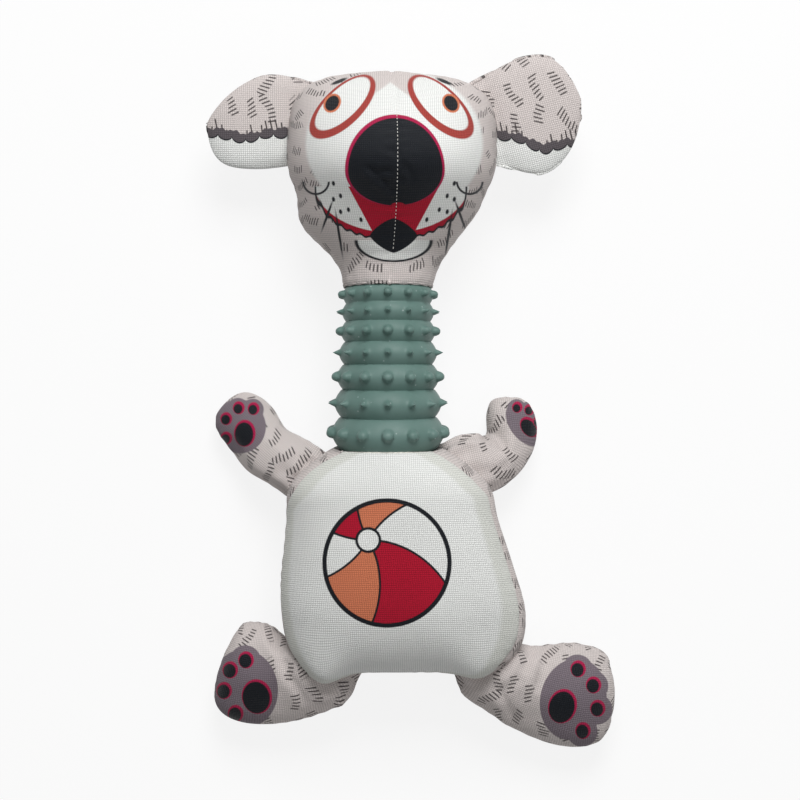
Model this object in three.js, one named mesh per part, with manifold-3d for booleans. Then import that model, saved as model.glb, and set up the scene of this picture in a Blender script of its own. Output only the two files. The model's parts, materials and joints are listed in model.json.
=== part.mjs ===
// A stuffed canvas dog toy, lying on its back with its face and belly up: a padded torso that squeaks
// when it is pressed, a ribbed and nubbed rubber neck, a stuffed head with two ears, and four limbs.
// Millimetres. +Y runs from the torso to the head, +Z out of the belly, and z = 0 is the floor.
import * as THREE from 'three';
import { mergeVertices } from 'three/addons/utils/BufferGeometryUtils.js';
import Module from 'manifold-3d';

// Cloth, seams and clearances
const clothThickness = 1.0;
const seamGap = 0.3;
const fillGap = 0.3;
const seatGap = 0.3;
const floorPress = 0.5;

// Torso
const torsoLength = 108;
const torsoDrift = 8.6;
const shoulderHalfWidth = 50;
const hipHalfWidth = 59;
const bellyDepth = 33;
const torsoBackDepth = 33.5;
const torsoCollarRadius = 26.2;
const shoulderRun = 25;
const bellyPadInset = 6;

// Neck
const neckLength = 77;
const ribCount = 7;
const ribPitchGrowth = 1.11;
const topRibRadius = 21.6;
const bottomRibRadius = 26.9;
const topGrooveDepth = 1.5;
const bottomGrooveDepth = 3.6;
const topBoreRadius = 17.4;
const bottomBoreRadius = 20.4;
const spigotWall = 2.1;
const flangeLip = 2.0;
const flangeThickness = 2.0;
const threadDiameter = 1.5;
const nubsPerRib = 14;
const fatNubDiameter = 5.8;
const fatNubHeight = 3.2;
const spikeDiameter = 4.2;
const spikeHeight = 3.8;
const topNubWidthShare = 0.66;
const topNubHeightShare = 0.9;
const nubRoot = 1.2;
const crestPlace = 0.5;
const crestFlat = 0.32;
const neckCoreEnd = 9;
const neckCoreDome = 10;

// Head
const headLength = 102;
const headHalfWidth = 48.4;
const headDrift = 1.6;
const headSway = 3.4;
const muzzleDepth = 52;
const muzzleRun = 32;
const noseHeight = 60;
const headBackDepth = 33.5;
const headCollarRadius = 22.9;
const cheekRun = 50;

// Ears
const earLength = 43;
const leftEarTopRootWidth = 20;
const leftEarTopWidth = 25;
const leftEarLowRootWidth = 19;
const leftEarLowWidth = 22;
const rightEarTopRootWidth = 20;
const rightEarTopWidth = 26;
const rightEarLowRootWidth = 17;
const rightEarLowWidth = 31;
const earSwell = 3.2;
const earRootRun = 12;
const earBelowCrown = 23;
const earRootTuck = 14;
const leftEarAim = 180;
const leftEarRootLine = 70;
const rightEarAim = 15;
const rightEarRootLine = -71;
const earSwingBack = 35;
const earSwingForward = 60;

// Arms
const armLength = 48.5;
const leftArmRootHalfWidth = 14.5;
const leftPawHalfWidth = 15;
const rightArmRootHalfWidth = 15.5;
const rightPawHalfWidth = 13.5;
const rightArmBunching = 5.5;
const armSwell = 10;
const armRootRun = 22;
const leftArmBelowCollar = 11;
const leftArmRootLine = 48;
const leftArmAim = 144;
const leftArmBend = -6;
const rightArmBelowCollar = 9;
const rightArmRootLine = -47;
const rightArmAim = 14;
const rightArmBend = 82;

// Legs
const legLength = 62.5;
const legRootHalfWidth = 18;
const leftFootHalfWidth = 24;
const rightFootHalfWidth = 25;
const legSwell = 15;
const legRootRun = 32;
const legAboveCrotch = 3;
const leftLegRootLine = 146;
const rightLegRootLine = 219;
const leftLegBunching = 9.5;
const leftLegAim = 207;
const leftLegBend = -45;
const rightLegAim = -36;
const rightLegBend = 36;
const limbRootTuck = 5;
const armRootDrop = 7;
const legRootDrop = 7;
const limbSlope = 0.7;
const limbSwingDown = 25;
const limbSwingUp = 35;

// Squeaker
const squeakerRadius = 20;
const squeakerHeight = 17;
const squeakerWall = 0.9;
const squeakerPleats = 3;
const pleatDepth = 2.2;
const bellowsShoulder = 2;
const mouthRadius = 4.6;
const reedHolderLength = 8;
const reedHolderFlange = 1.2;
const reedHolderFlangeRadius = 6.6;
const airwayRadius = 2.2;
const reedThickness = 0.4;
const reedLength = 4.6;
const squeakerHeightOnBelly = -4;

// Faces round each form
const halfSteps = 8;
const limbHalfSteps = 6;
const earHalfSteps = 4;
const neckSteps = 2 * nubsPerRib;
const squeakerSteps = 16;
const pocketSteps = 24;
const threadSteps = 5;
const swingSteps = 6;

// Heights shared by the pieces: the seams, the neck and the head lie on one level
const midHeight = torsoBackDepth - floorPress;
const torsoTop = torsoLength / 2;
const neckAcross = -torsoDrift / 2;
const bottomSpigotRadius = bottomBoreRadius + spigotWall;
const topSpigotRadius = topBoreRadius + spigotWall;
const hemRoom = clothThickness + threadDiameter + 2 * seatGap;
const leftArmRootHeight = torsoTop - leftArmBelowCollar;
const rightArmRootHeight = torsoTop - rightArmBelowCollar;
const legRootHeight = torsoTop - torsoLength + legAboveCrotch;
const earRootHeight = headLength - earBelowCrown;

const wasm = await Module();
wasm.setup();

const clothMaterial = { color: 0xb8aeaa, roughness: 0.9, metalness: 0 };
const bellyMaterial = { color: 0xdcdcd8, roughness: 0.9, metalness: 0 };
const rubberMaterial = { color: 0x6f8f87, roughness: 0.5, metalness: 0 };
const fillingMaterial = { color: 0xf2f1ec, roughness: 1, metalness: 0 };
const threadMaterial = { color: 0xe8e6e0, roughness: 0.8, metalness: 0 };
const plasticMaterial = { color: 0xe9edf0, roughness: 0.35, metalness: 0 };

const clamp01 = (value) => Math.min(Math.max(value, 0), 1);
const mix = (a, b, t) => a + (b - a) * t;
const smooth = (t) => THREE.MathUtils.smoothstep(t, 0, 1);
const rise = (t) => 1 - (1 - clamp01(t)) ** 2;
const roundEnd = (u, sharpness, root) => (1 - u ** sharpness) ** (1 / root);
const radians = THREE.MathUtils.degToRad;

// The corner radius of a panel's faceted hole whose flats clear a round of this radius
const aroundRadius = (radius) => radius / Math.cos(Math.PI / (2 * halfSteps));

// A surface from points and triangles.
function surfaceOf(points, triangles) {
  const flat = points.flatMap((p) => [p.x, p.y, p.z]);
  const surface = new THREE.BufferGeometry();
  surface.setAttribute('position', new THREE.Float32BufferAttribute(flat, 3));
  surface.setIndex(triangles);
  return surface;
}

// A closed geometry as a solid to join and cut, without its collapsed triangles and facing outwards.
function solidOf(geometry) {
  const bare = geometry.clone();
  bare.deleteAttribute('normal');
  bare.deleteAttribute('uv');
  const merged = mergeVertices(bare, 1e-4);
  const corner = (i) => new THREE.Vector3().fromBufferAttribute(merged.attributes.position, i);
  const kept = [];
  let volume = 0;
  for (let i = 0; i < merged.index.count; i += 3) {
    const [a, b, c] = [0, 1, 2].map((k) => merged.index.getX(i + k));
    if (a === b || b === c || c === a) continue;
    kept.push(a, b, c);
    volume += corner(a).dot(corner(b).cross(corner(c)));
  }
  const triVerts = Uint32Array.from(volume < 0 ? kept.toReversed() : kept);
  const vertProperties = merged.attributes.position.array;
  return new wasm.Manifold(new wasm.Mesh({ numProp: 3, vertProperties, triVerts }));
}

// A solid as a named piece with a finish of its own.
function piece(name, solid, finish) {
  const made = solid.getMesh();
  const geometry = new THREE.BufferGeometry();
  geometry.setAttribute('position', new THREE.BufferAttribute(Float32Array.from(made.vertProperties), 3));
  geometry.setIndex(Array.from(made.triVerts));
  geometry.computeVertexNormals();
  const mesh = new THREE.Mesh(geometry, new THREE.MeshStandardMaterial(finish));
  mesh.name = name;
  return mesh;
}

// A solid of revolution about Y, from its profile of radius and height.
function turned(profile, segments) {
  return solidOf(new THREE.LatheGeometry(profile.map(([r, y]) => new THREE.Vector2(r, y)), segments));
}

// A plain cylinder along Y between two heights.
function rod(radius, low, high, segments) {
  return turned([[0, low], [radius, low], [radius, high], [0, high]], segments);
}

function boxBetween(low, high) {
  const size = new THREE.Vector3().subVectors(high, low);
  const box = new THREE.BoxGeometry(size.x, size.y, size.z);
  box.translate(...new THREE.Vector3().addVectors(low, high).multiplyScalar(0.5).toArray());
  return solidOf(box);
}

// A point of a form's cross-section: a rounded outline with its own depth before and behind the seam, and with
// a reach of its own to the other side where the form is uneven.
function sectionPoint(section, angle, shift) {
  const bend = (value) => Math.sign(value) * Math.abs(value) ** (2 / section.power);
  const c = bend(Math.cos(angle));
  const s = bend(Math.sin(angle));
  const depth = s >= 0 ? section.front : section.back;
  const reach = c >= 0 ? section.half : section.otherHalf ?? section.half;
  return section.centre.clone()
    .addScaledVector(section.across, shift.across + reach * c)
    .addScaledVector(section.out, shift.out + depth * s);
}

// The rows of points of a form's sections between two angles.
function sectionRows(sections, from, to, steps, shift) {
  return sections.map((section) => Array.from(
    { length: steps + 1 },
    (_, k) => sectionPoint(section, mix(from, to, k / steps), shift),
  ));
}

const noShift = { across: 0, out: 0 };

// A whole stuffed form, closed by a point or a flat face at each end.
function stuffed(sections, steps) {
  const rows = sectionRows(sections, 0, 2 * Math.PI, steps, noShift);
  const points = rows.flat();
  const triangles = [];
  const at = (row, k) => row * (steps + 1) + k;
  for (let row = 0; row + 1 < rows.length; row += 1) {
    for (let k = 0; k < steps; k += 1) {
      triangles.push(at(row, k), at(row, k + 1), at(row + 1, k + 1));
      triangles.push(at(row, k), at(row + 1, k + 1), at(row + 1, k));
    }
  }
  const ends = [[0, 1], [rows.length - 1, -1]];
  for (const [row, way] of ends) {
    const middle = points.push(sections[row].centre.clone()) - 1;
    for (let k = 0; k < steps; k += 1) {
      const fan = [middle, at(row, k + 1), at(row, k)];
      triangles.push(...(way > 0 ? fan : fan.toReversed()));
    }
  }
  return solidOf(surfaceOf(points, triangles));
}

// A sewn panel: the cloth of a form between two angles, from its outer face to its inner one.
function panel(outer, inner, from, to, steps, shift) {
  const rows = [outer, inner].map((sections) => sectionRows(sections, from, to, steps, shift));
  const points = rows.flat(2);
  const count = outer.length;
  const triangles = [];
  const at = (layer, row, k) => (layer * count + row) * (steps + 1) + k;
  const quad = (a, b, c, d) => triangles.push(a, b, c, a, c, d);
  for (let row = 0; row + 1 < count; row += 1) {
    for (let k = 0; k < steps; k += 1) {
      quad(at(0, row, k), at(0, row, k + 1), at(0, row + 1, k + 1), at(0, row + 1, k));
      quad(at(1, row, k), at(1, row + 1, k), at(1, row + 1, k + 1), at(1, row, k + 1));
    }
    quad(at(0, row, 0), at(0, row + 1, 0), at(1, row + 1, 0), at(1, row, 0));
    quad(at(0, row, steps), at(1, row, steps), at(1, row + 1, steps), at(0, row + 1, steps));
  }
  const last = count - 1;
  for (let k = 0; k < steps; k += 1) {
    quad(at(0, 0, k), at(1, 0, k), at(1, 0, k + 1), at(0, 0, k + 1));
    quad(at(0, last, k), at(0, last, k + 1), at(1, last, k + 1), at(1, last, k));
  }
  return solidOf(surfaceOf(points, triangles));
}

// The half of a form on one side of its seam, filled up to a flat face at the seam.
function halfFill(sections, from, steps, out) {
  const flat = sections.map((section) => ({ ...section, front: 0, back: 0 }));
  return panel(sections, flat, from, from + Math.PI, steps, { across: 0, out });
}

const front = 0;
const behind = Math.PI;
const frontShift = { across: 0, out: seamGap / 2 };
const backShift = { across: 0, out: -seamGap / 2 };

// The floor side of the world, taken off the pieces that lie on it.
const worldReach = 1000;
const belowFloor = boxBetween(
  new THREE.Vector3(-worldReach, -worldReach, -worldReach),
  new THREE.Vector3(worldReach, worldReach, 0),
);
const pressedFlat = (solid) => solid.subtract(belowFloor);

// Torso: sections from the collar at the neck down to the crotch
const torsoStations = [0, 0.07, 0.15, 0.26, 0.42, 0.58, 0.74, 0.86, 0.94, 0.985, 1];

function torsoSection(u, inset) {
  const side = mix(shoulderHalfWidth, hipHalfWidth, smooth((u - 0.2) / 0.55));
  const shoulder = rise((u * torsoLength) / shoulderRun);
  const half = mix(torsoCollarRadius, side, shoulder);
  const belly = mix(torsoCollarRadius, bellyDepth, shoulder);
  const back = mix(torsoCollarRadius, torsoBackDepth, shoulder);
  const top = torsoTop - inset;
  const drift = mix(neckAcross, -neckAcross, smooth(u));
  return {
    centre: new THREE.Vector3(drift, mix(top, torsoTop - torsoLength + inset, u), midHeight),
    across: new THREE.Vector3(1, 0, 0),
    out: new THREE.Vector3(0, 0, 1),
    half: (half - inset) * roundEnd(u, 14, 3),
    front: (belly - inset) * roundEnd(u, 6, 2),
    back: (back - inset) * roundEnd(u, 8, 2),
    power: 2 + 0.3 * shoulder,
  };
}

// The collar's turned-in hem: a flat ring from the collar to the neck's spigot.
function hemSection(section, radius) {
  return { ...section, half: radius, front: radius, back: radius, power: 2 };
}

function torsoSections(inset) {
  return torsoStations.map((u) => torsoSection(u, inset));
}

function withHem(sections, radius) {
  return [hemSection(sections[0], radius), ...sections];
}

const torsoHole = aroundRadius(bottomSpigotRadius + seatGap);
const torsoOuter = withHem(torsoSections(0), torsoHole);
const torsoInner = withHem(torsoSections(clothThickness), torsoHole);
const torsoClearance = stuffed(torsoSections(-seamGap), 2 * halfSteps);

function torsoBellyPanel() {
  return panel(torsoOuter, torsoInner, front, behind, halfSteps, frontShift);
}

function torsoBackPanel() {
  return pressedFlat(panel(torsoOuter, torsoInner, behind, 2 * Math.PI, halfSteps, backShift));
}

// Room for the spigot's flange in the stuffing behind a collar
function flangeRoom(radius, x, y, way) {
  const reach = y + way * (hemRoom + flangeThickness + seatGap);
  const room = rod(radius + flangeLip + seatGap, Math.min(y, reach), Math.max(y, reach), neckSteps);
  return room.translate(x, 0, midHeight);
}

function torsoBellyStuffing() {
  const stations = [0.14, 0.2, 0.3, 0.42, 0.58, 0.74, 0.86, 0.93];
  const fill = clothThickness + fillGap;
  const pad = stations.map((u) => {
    const section = torsoSection(u, fill);
    return { ...section, half: section.half - bellyPadInset };
  });
  const inside = stuffed(torsoSections(fill), 2 * halfSteps);
  const room = flangeRoom(bottomSpigotRadius, neckAcross, torsoTop, -1);
  const body = halfFill(pad, front, halfSteps, fillGap);
  return body.intersect(inside.translate(0, 0, seamGap / 2)).subtract(room);
}

// Squeaker: a pleated bellows with a mouth below, and a reed in a slotted plug
const squeakerTop = midHeight - fillGap;
const squeakerLow = squeakerTop - squeakerHeight;
const turnUp = (solid) => solid.rotate([90, 0, 0]).translate(0, squeakerHeightOnBelly, 0);

function bellowsProfile(offset) {
  const side = [];
  const edges = 2 * squeakerPleats;
  for (let k = 0; k <= edges; k += 1) {
    const fold = k % 2 === 0 ? 0 : pleatDepth;
    const share = k / edges;
    const height = mix(squeakerLow + bellowsShoulder, squeakerTop - bellowsShoulder, share);
    side.push([squeakerRadius - fold - offset, height]);
  }
  return side;
}

function squeakerBellows() {
  const lip = mouthRadius + squeakerWall;
  const profile = [
    [0, squeakerTop],
    [squeakerRadius - pleatDepth, squeakerTop],
    ...bellowsProfile(0).toReversed(),
    [squeakerRadius - pleatDepth, squeakerLow],
    [lip, squeakerLow],
    [mouthRadius, squeakerLow],
    [mouthRadius, squeakerLow + squeakerWall],
    [squeakerRadius - pleatDepth - squeakerWall, squeakerLow + squeakerWall],
    ...bellowsProfile(squeakerWall),
    [squeakerRadius - pleatDepth - squeakerWall, squeakerTop - squeakerWall],
    [0, squeakerTop - squeakerWall],
  ];
  return turnUp(turned(profile, squeakerSteps));
}

const reedHolderLow = squeakerLow - seatGap - reedHolderFlange;
const reedHolderTop = reedHolderLow + reedHolderLength;
const reedSlotBottom = reedHolderTop - reedLength - seatGap;
const reedHolderRadius = mouthRadius - seatGap;

function squeakerReedHolder() {
  const profile = [
    [airwayRadius, reedHolderLow],
    [reedHolderFlangeRadius, reedHolderLow],
    [reedHolderFlangeRadius, reedHolderLow + reedHolderFlange],
    [reedHolderRadius, reedHolderLow + reedHolderFlange],
    [reedHolderRadius, reedHolderTop],
    [airwayRadius, reedHolderTop],
    [airwayRadius, reedHolderLow],
  ];
  const halfSlot = reedThickness / 2 + seatGap;
  const slot = boxBetween(
    new THREE.Vector3(-mouthRadius, squeakerHeightOnBelly - halfSlot, reedSlotBottom),
    new THREE.Vector3(mouthRadius, squeakerHeightOnBelly + halfSlot, reedHolderTop + seatGap),
  );
  return turnUp(turned(profile, squeakerSteps)).subtract(slot);
}

function squeakerReed() {
  const halfReed = reedHolderRadius - seatGap;
  return boxBetween(
    new THREE.Vector3(-halfReed, squeakerHeightOnBelly - reedThickness / 2, reedSlotBottom + seatGap),
    new THREE.Vector3(halfReed, squeakerHeightOnBelly + reedThickness / 2, reedHolderTop),
  );
}

function torsoBackStuffing() {
  const fill = clothThickness + fillGap;
  const body = halfFill(torsoSections(fill), behind, halfSteps, -fillGap / 2);
  const pocket = turnUp(rod(squeakerRadius + fillGap, squeakerLow - fillGap, midHeight, pocketSteps));
  const plugLow = reedHolderLow - fillGap;
  const plugPocket = turnUp(rod(reedHolderFlangeRadius + fillGap, plugLow, midHeight, squeakerSteps));
  const room = flangeRoom(bottomSpigotRadius, neckAcross, torsoTop, -1);
  return pressedFlat(body.subtract(pocket).subtract(plugPocket).subtract(room)
    .subtract(belowFloor.translate(0, 0, fill)));
}

// A drawn thread round a spigot, which gathers the hem in behind the flange
function drawnThread(spigotRadius, x, y) {
  const threadRadius = threadDiameter / 2;
  const ringRadius = spigotRadius + seatGap + threadRadius;
  const ring = new THREE.TorusGeometry(ringRadius, threadRadius, threadSteps, neckSteps);
  ring.rotateX(Math.PI / 2);
  ring.translate(x, y, midHeight);
  return solidOf(ring);
}

const threadSeat = seatGap / 2 + clothThickness + seatGap + threadDiameter / 2;

// Neck: ribs that grow in pitch and girth from the head to the torso, with a row of nubs on each crest
function ribLayout() {
  const growth = Array.from({ length: ribCount }, (_, k) => ribPitchGrowth ** k);
  const unit = (neckLength - seatGap) / growth.reduce((a, b) => a + b, 0);
  let edge = neckLength - seatGap / 2;
  return growth.map((scale, k) => {
    const share = ribCount > 1 ? k / (ribCount - 1) : 0;
    const pitch = unit * scale;
    const rib = {
      high: edge,
      low: edge - pitch,
      pitch,
      share,
      crest: edge - crestPlace * pitch,
      radius: mix(topRibRadius, bottomRibRadius, share ** 1.5),
      groove: mix(topGrooveDepth, bottomGrooveDepth, share),
      fat: k % 2 === 0,
    };
    edge = rib.low;
    return rib;
  });
}

const ribs = ribLayout();

function neckProfile() {
  const upper = neckLength + hemRoom - seatGap / 2;
  const lower = -(hemRoom - seatGap / 2);
  const outside = [
    [topBoreRadius, upper + flangeThickness],
    [topSpigotRadius + flangeLip, upper + flangeThickness],
    [topSpigotRadius + flangeLip, upper],
    [topSpigotRadius, upper],
    [topSpigotRadius, neckLength - seatGap / 2],
  ];
  for (const [k, rib] of ribs.entries()) {
    const above = k > 0 ? mix(ribs[k - 1].radius, rib.radius, 0.5) : rib.radius;
    outside.push([above - rib.groove, rib.high]);
    outside.push([rib.radius, rib.crest + (crestFlat / 2) * rib.pitch]);
    outside.push([rib.radius, rib.crest - (crestFlat / 2) * rib.pitch]);
  }
  outside.push(
    [torsoCollarRadius - seatGap, seatGap / 2],
    [bottomSpigotRadius, seatGap / 2],
    [bottomSpigotRadius, lower],
    [bottomSpigotRadius + flangeLip, lower],
    [bottomSpigotRadius + flangeLip, lower - flangeThickness],
    [bottomBoreRadius, lower - flangeThickness],
    [topBoreRadius, upper + flangeThickness],
  );
  return outside.toReversed();
}

// A nub that stands out of a crest along +Y of its own frame
function nubProfile(fat, share) {
  const radius = (mix(topNubWidthShare, 1, share) * (fat ? fatNubDiameter : spikeDiameter)) / 2;
  const height = mix(topNubHeightShare, 1, share) * (fat ? fatNubHeight : spikeHeight);
  const shape = fat
    ? [[radius, 0.45 * height], [0.62 * radius, 0.88 * height]]
    : [[0.5 * radius, 0.55 * height], [0.22 * radius, 0.95 * height]];
  return [[0, -nubRoot], [radius, -nubRoot], ...shape, [0, height]];
}

function neckTube() {
  let tube = turned(neckProfile(), neckSteps);
  for (const rib of ribs) {
    const nub = turned(nubProfile(rib.fat, rib.share), rib.fat ? 5 : 4).rotate([0, 0, -90]);
    for (let k = 0; k < nubsPerRib; k += 1) {
      const turn = (360 * (k + 0.5)) / nubsPerRib;
      tube = tube.add(nub.translate(rib.radius, 0, 0).rotate([0, turn, 0]).translate(0, rib.crest, 0));
    }
  }
  return tube.translate(0, 0, midHeight);
}

// The plug of stuffing that keeps the neck round, domed at both ends
function neckStuffing() {
  const low = neckCoreEnd;
  const high = neckLength - neckCoreEnd;
  const radiusAt = (y) => mix(bottomBoreRadius, topBoreRadius, y / neckLength) - fillGap;
  const dome = [0, 0.35, 0.7, 1];
  const rounded = (share) => Math.sqrt(1 - (1 - share) ** 2);
  const profile = [
    ...dome.map((t) => [radiusAt(low + neckCoreDome) * rounded(t), low + neckCoreDome * t]),
    ...dome.toReversed().map((t) => [radiusAt(high - neckCoreDome) * rounded(t), high - neckCoreDome * t]),
  ];
  return turned(profile, neckSteps).translate(0, 0, midHeight);
}

// Head: sections from the collar at the neck up to the crown, deepest at the nose
const headStations = [0, 0.07, 0.16, 0.26, 0.37, 0.48, 0.59, 0.7, 0.8, 0.89, 0.96, 0.99, 1];

function headSection(u, inset) {
  const y = u * headLength;
  const cheek = smooth(y / cheekRun);
  const muzzle = Math.exp(-(((y - noseHeight) / muzzleRun) ** 2));
  const reach = mix(headCollarRadius, muzzleDepth, smooth(y / noseHeight) * muzzle);
  const end = roundEnd(u, 13, 2.3);
  const middle = headDrift * smooth(u) + headSway * Math.sin(Math.PI * u);
  return {
    centre: new THREE.Vector3(middle, mix(inset, headLength - inset, u), midHeight),
    across: new THREE.Vector3(1, 0, 0),
    out: new THREE.Vector3(0, 0, 1),
    half: (mix(headCollarRadius, headHalfWidth, cheek) - inset) * end,
    front: (reach - inset) * end,
    back: (mix(headCollarRadius, headBackDepth, cheek) - inset) * roundEnd(u, 8, 2),
    power: 2,
  };
}

const headSections = (inset) => headStations.map((u) => headSection(u, inset));
const headHole = aroundRadius(topSpigotRadius + seatGap);
const headOuter = withHem(headSections(0), headHole);
const headInner = withHem(headSections(clothThickness), headHole);
const headClearance = stuffed(headSections(-seamGap), 2 * halfSteps);

// The face is two panels, sewn down the middle from the crown over the nose to the chin.
function headFacePanel(side) {
  const from = side > 0 ? 0 : Math.PI / 2;
  const shift = { across: (side * seamGap) / 2, out: seamGap / 2 };
  return panel(headOuter, headInner, from, from + Math.PI / 2, halfSteps / 2, shift);
}

function headBackPanel() {
  return panel(headOuter, headInner, behind, 2 * Math.PI, halfSteps, backShift);
}

function headStuffing() {
  const fill = clothThickness + fillGap;
  return stuffed(headSections(fill), 2 * halfSteps).subtract(flangeRoom(topSpigotRadius, 0, 0, 1));
}

// Limbs and ears: a padded flap on a flat sewn root, along a spine that bends in its own plane
function flapSpine(flap) {
  const steps = 6;
  const spine = [flap.root.clone()];
  const length = flap.length / steps;
  for (let k = 0; k < steps; k += 1) {
    const heading = radians(flap.aim + flap.bend * ((k + 0.5) / steps));
    const along = new THREE.Vector3(Math.cos(heading), Math.sin(heading), 0);
    spine.push(spine[k].clone().addScaledVector(along, length));
  }
  spine.forEach((point, k) => {
    point.z = mix(flap.root.z, flap.tipHeight, smooth(k / steps / limbSlope));
  });
  return new THREE.CatmullRomCurve3(spine, false, 'centripetal');
}

function flapSection(flap, u, inset) {
  const share = u * (1 - inset / flap.length);
  const along = flap.spine.getTangentAt(share);
  const across = new THREE.Vector3(along.y, -along.x, 0).normalize();
  const reachOf = (edge) => {
    const full = mix(edge.root, edge.reach, smooth(u / flap.widest)) - inset;
    return full * roundEnd(u, edge.endSharpness, edge.endRoot);
  };
  const swell = flap.swell * rise((u * flap.length - flap.tuck) / flap.rootRun);
  const depth = (swell + clothThickness - inset) * roundEnd(u, flap.thickEnd, 2);
  return {
    centre: flap.spine.getPointAt(share),
    across,
    out: new THREE.Vector3().crossVectors(across, along),
    half: reachOf(flap.rightEdge),
    otherHalf: reachOf(flap.leftEdge),
    front: depth,
    back: depth,
    power: 2,
  };
}

// The room that a flap needs to swing beside the larger form that it is sewn to, about the line of its root
function swingRoom(flap, larger) {
  const line = radians(flap.rootLine);
  const axis = new THREE.Vector3(Math.cos(line), Math.sin(line), 0);
  const toRoot = new THREE.Matrix4().makeTranslation(flap.seat.x, flap.seat.y, flap.seat.z);
  const fromRoot = toRoot.clone().invert();
  let room = larger;
  for (let k = 0; k <= swingSteps; k += 1) {
    const angle = radians(mix(-flap.swingBack, flap.swingForward, k / swingSteps));
    const turn = new THREE.Matrix4().makeRotationAxis(axis, -angle);
    room = room.add(larger.transform(toRoot.clone().multiply(turn).multiply(fromRoot).elements));
  }
  return room;
}

function flapPieces(flap, cut) {
  const stations = flap.stations;
  const outer = stations.map((u) => flapSection(flap, u, 0));
  const inner = stations.map((u) => flapSection(flap, u, clothThickness));
  const filled = stations.filter((u) => u >= flap.fillShare);
  const fill = filled.map((u) => flapSection(flap, u, clothThickness + fillGap));
  const flat = (solid) => pressedFlat(solid.subtract(cut));
  const underFill = belowFloor.translate(0, 0, clothThickness + fillGap);
  return {
    frontPanel: flat(panel(outer, inner, front, behind, flap.steps, frontShift)),
    backPanel: flat(panel(outer, inner, behind, 2 * Math.PI, flap.steps, backShift)),
    filling: stuffed(fill, 2 * flap.steps).subtract(cut).subtract(underFill),
  };
}

// The point of the torso's or head's side seam at a height of its own frame
function seamPoint(sections, side, y) {
  const past = (section) => section.centre.y - y;
  const at = sections.findIndex((section, k) => k > 0 && past(section) * past(sections[k - 1]) <= 0);
  const [a, b] = [sections[at - 1], sections[at]];
  const share = (y - a.centre.y) / (b.centre.y - a.centre.y);
  const middle = mix(a.centre.x, b.centre.x, share);
  return new THREE.Vector3(middle + side * mix(a.half, b.half, share), y, midHeight);
}

function flapFrom(shape, sections, side, height, lie) {
  const heading = radians(lie.aim);
  const inward = new THREE.Vector3(Math.cos(heading), Math.sin(heading), 0).multiplyScalar(-shape.tuck);
  const seat = seamPoint(sections, side, height).setZ(shape.rootHeight);
  const root = seat.clone().add(inward);
  const flap = { ...shape, ...lie, seat, root, length: shape.reach + shape.tuck };
  return { ...flap, spine: flapSpine(flap) };
}

// One long edge of a flap: how far it lies from the spine at the root and where it is widest, and how it ends
const edgeOf = (root, reach, endSharpness, endRoot) => ({ root, reach, endSharpness, endRoot });
const evenEdges = (edge) => ({ rightEdge: edge, leftEdge: edge });

const armShape = {
  swell: armSwell,
  rootRun: armRootRun,
  tuck: limbRootTuck,
  rootHeight: midHeight - armRootDrop,
  tipHeight: armSwell + clothThickness - floorPress,
  widest: 0.7,
  thickEnd: 7,
  stations: [0, 0.08, 0.16, 0.26, 0.4, 0.58, 0.76, 0.9, 0.97, 1],
  fillShare: 0.16,
  steps: limbHalfSteps,
  swingBack: limbSwingDown,
  swingForward: limbSwingUp,
};

const legShape = {
  ...armShape,
  swell: legSwell,
  rootRun: legRootRun,
  rootHeight: midHeight - legRootDrop,
  tipHeight: legSwell + clothThickness - floorPress,
};

// The right arm is pushed up at the shoulder and the left leg at the hip, so both reach less far.
const leftArmShape = {
  ...armShape,
  ...evenEdges(edgeOf(leftArmRootHalfWidth, leftPawHalfWidth, 8, 2.7)),
  reach: armLength,
};
const rightArmShape = {
  ...armShape,
  ...evenEdges(edgeOf(rightArmRootHalfWidth, rightPawHalfWidth, 8, 2.7)),
  reach: armLength - rightArmBunching,
};
const leftLegShape = {
  ...legShape,
  ...evenEdges(edgeOf(legRootHalfWidth, leftFootHalfWidth, 8, 3)),
  reach: legLength - leftLegBunching,
};
const rightLegShape = {
  ...legShape,
  ...evenEdges(edgeOf(legRootHalfWidth, rightFootHalfWidth, 8, 3)),
  reach: legLength,
};

const earShape = {
  reach: earLength,
  swell: earSwell,
  rootRun: earRootRun,
  tuck: earRootTuck,
  rootHeight: midHeight,
  tipHeight: midHeight,
  widest: 0.6,
  thickEnd: 6,
  stations: [0, 0.15, 0.27, 0.36, 0.5, 0.66, 0.82, 0.93, 0.98, 1],
  fillShare: 0.36,
  steps: earHalfSteps,
  swingBack: earSwingBack,
  swingForward: earSwingForward,
};
const leftEarShape = {
  ...earShape,
  rightEdge: edgeOf(leftEarTopRootWidth, leftEarTopWidth, 2.6, 1.25),
  leftEdge: edgeOf(leftEarLowRootWidth, leftEarLowWidth, 9, 2.2),
};
const rightEarShape = {
  ...earShape,
  rightEdge: edgeOf(rightEarLowRootWidth, rightEarLowWidth, 4, 1.35),
  leftEdge: edgeOf(rightEarTopRootWidth, rightEarTopWidth, 9, 1.3),
};

function addFlap(group, name, flap, cut, fillingName) {
  const made = flapPieces(flap, cut);
  group.add(
    piece(`${name}_front_panel`, made.frontPanel, clothMaterial),
    piece(`${name}_back_panel`, made.backPanel, clothMaterial),
    piece(`${name}_${fillingName}`, made.filling, fillingMaterial),
  );
}

// Assembly
const toy = new THREE.Group();

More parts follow.
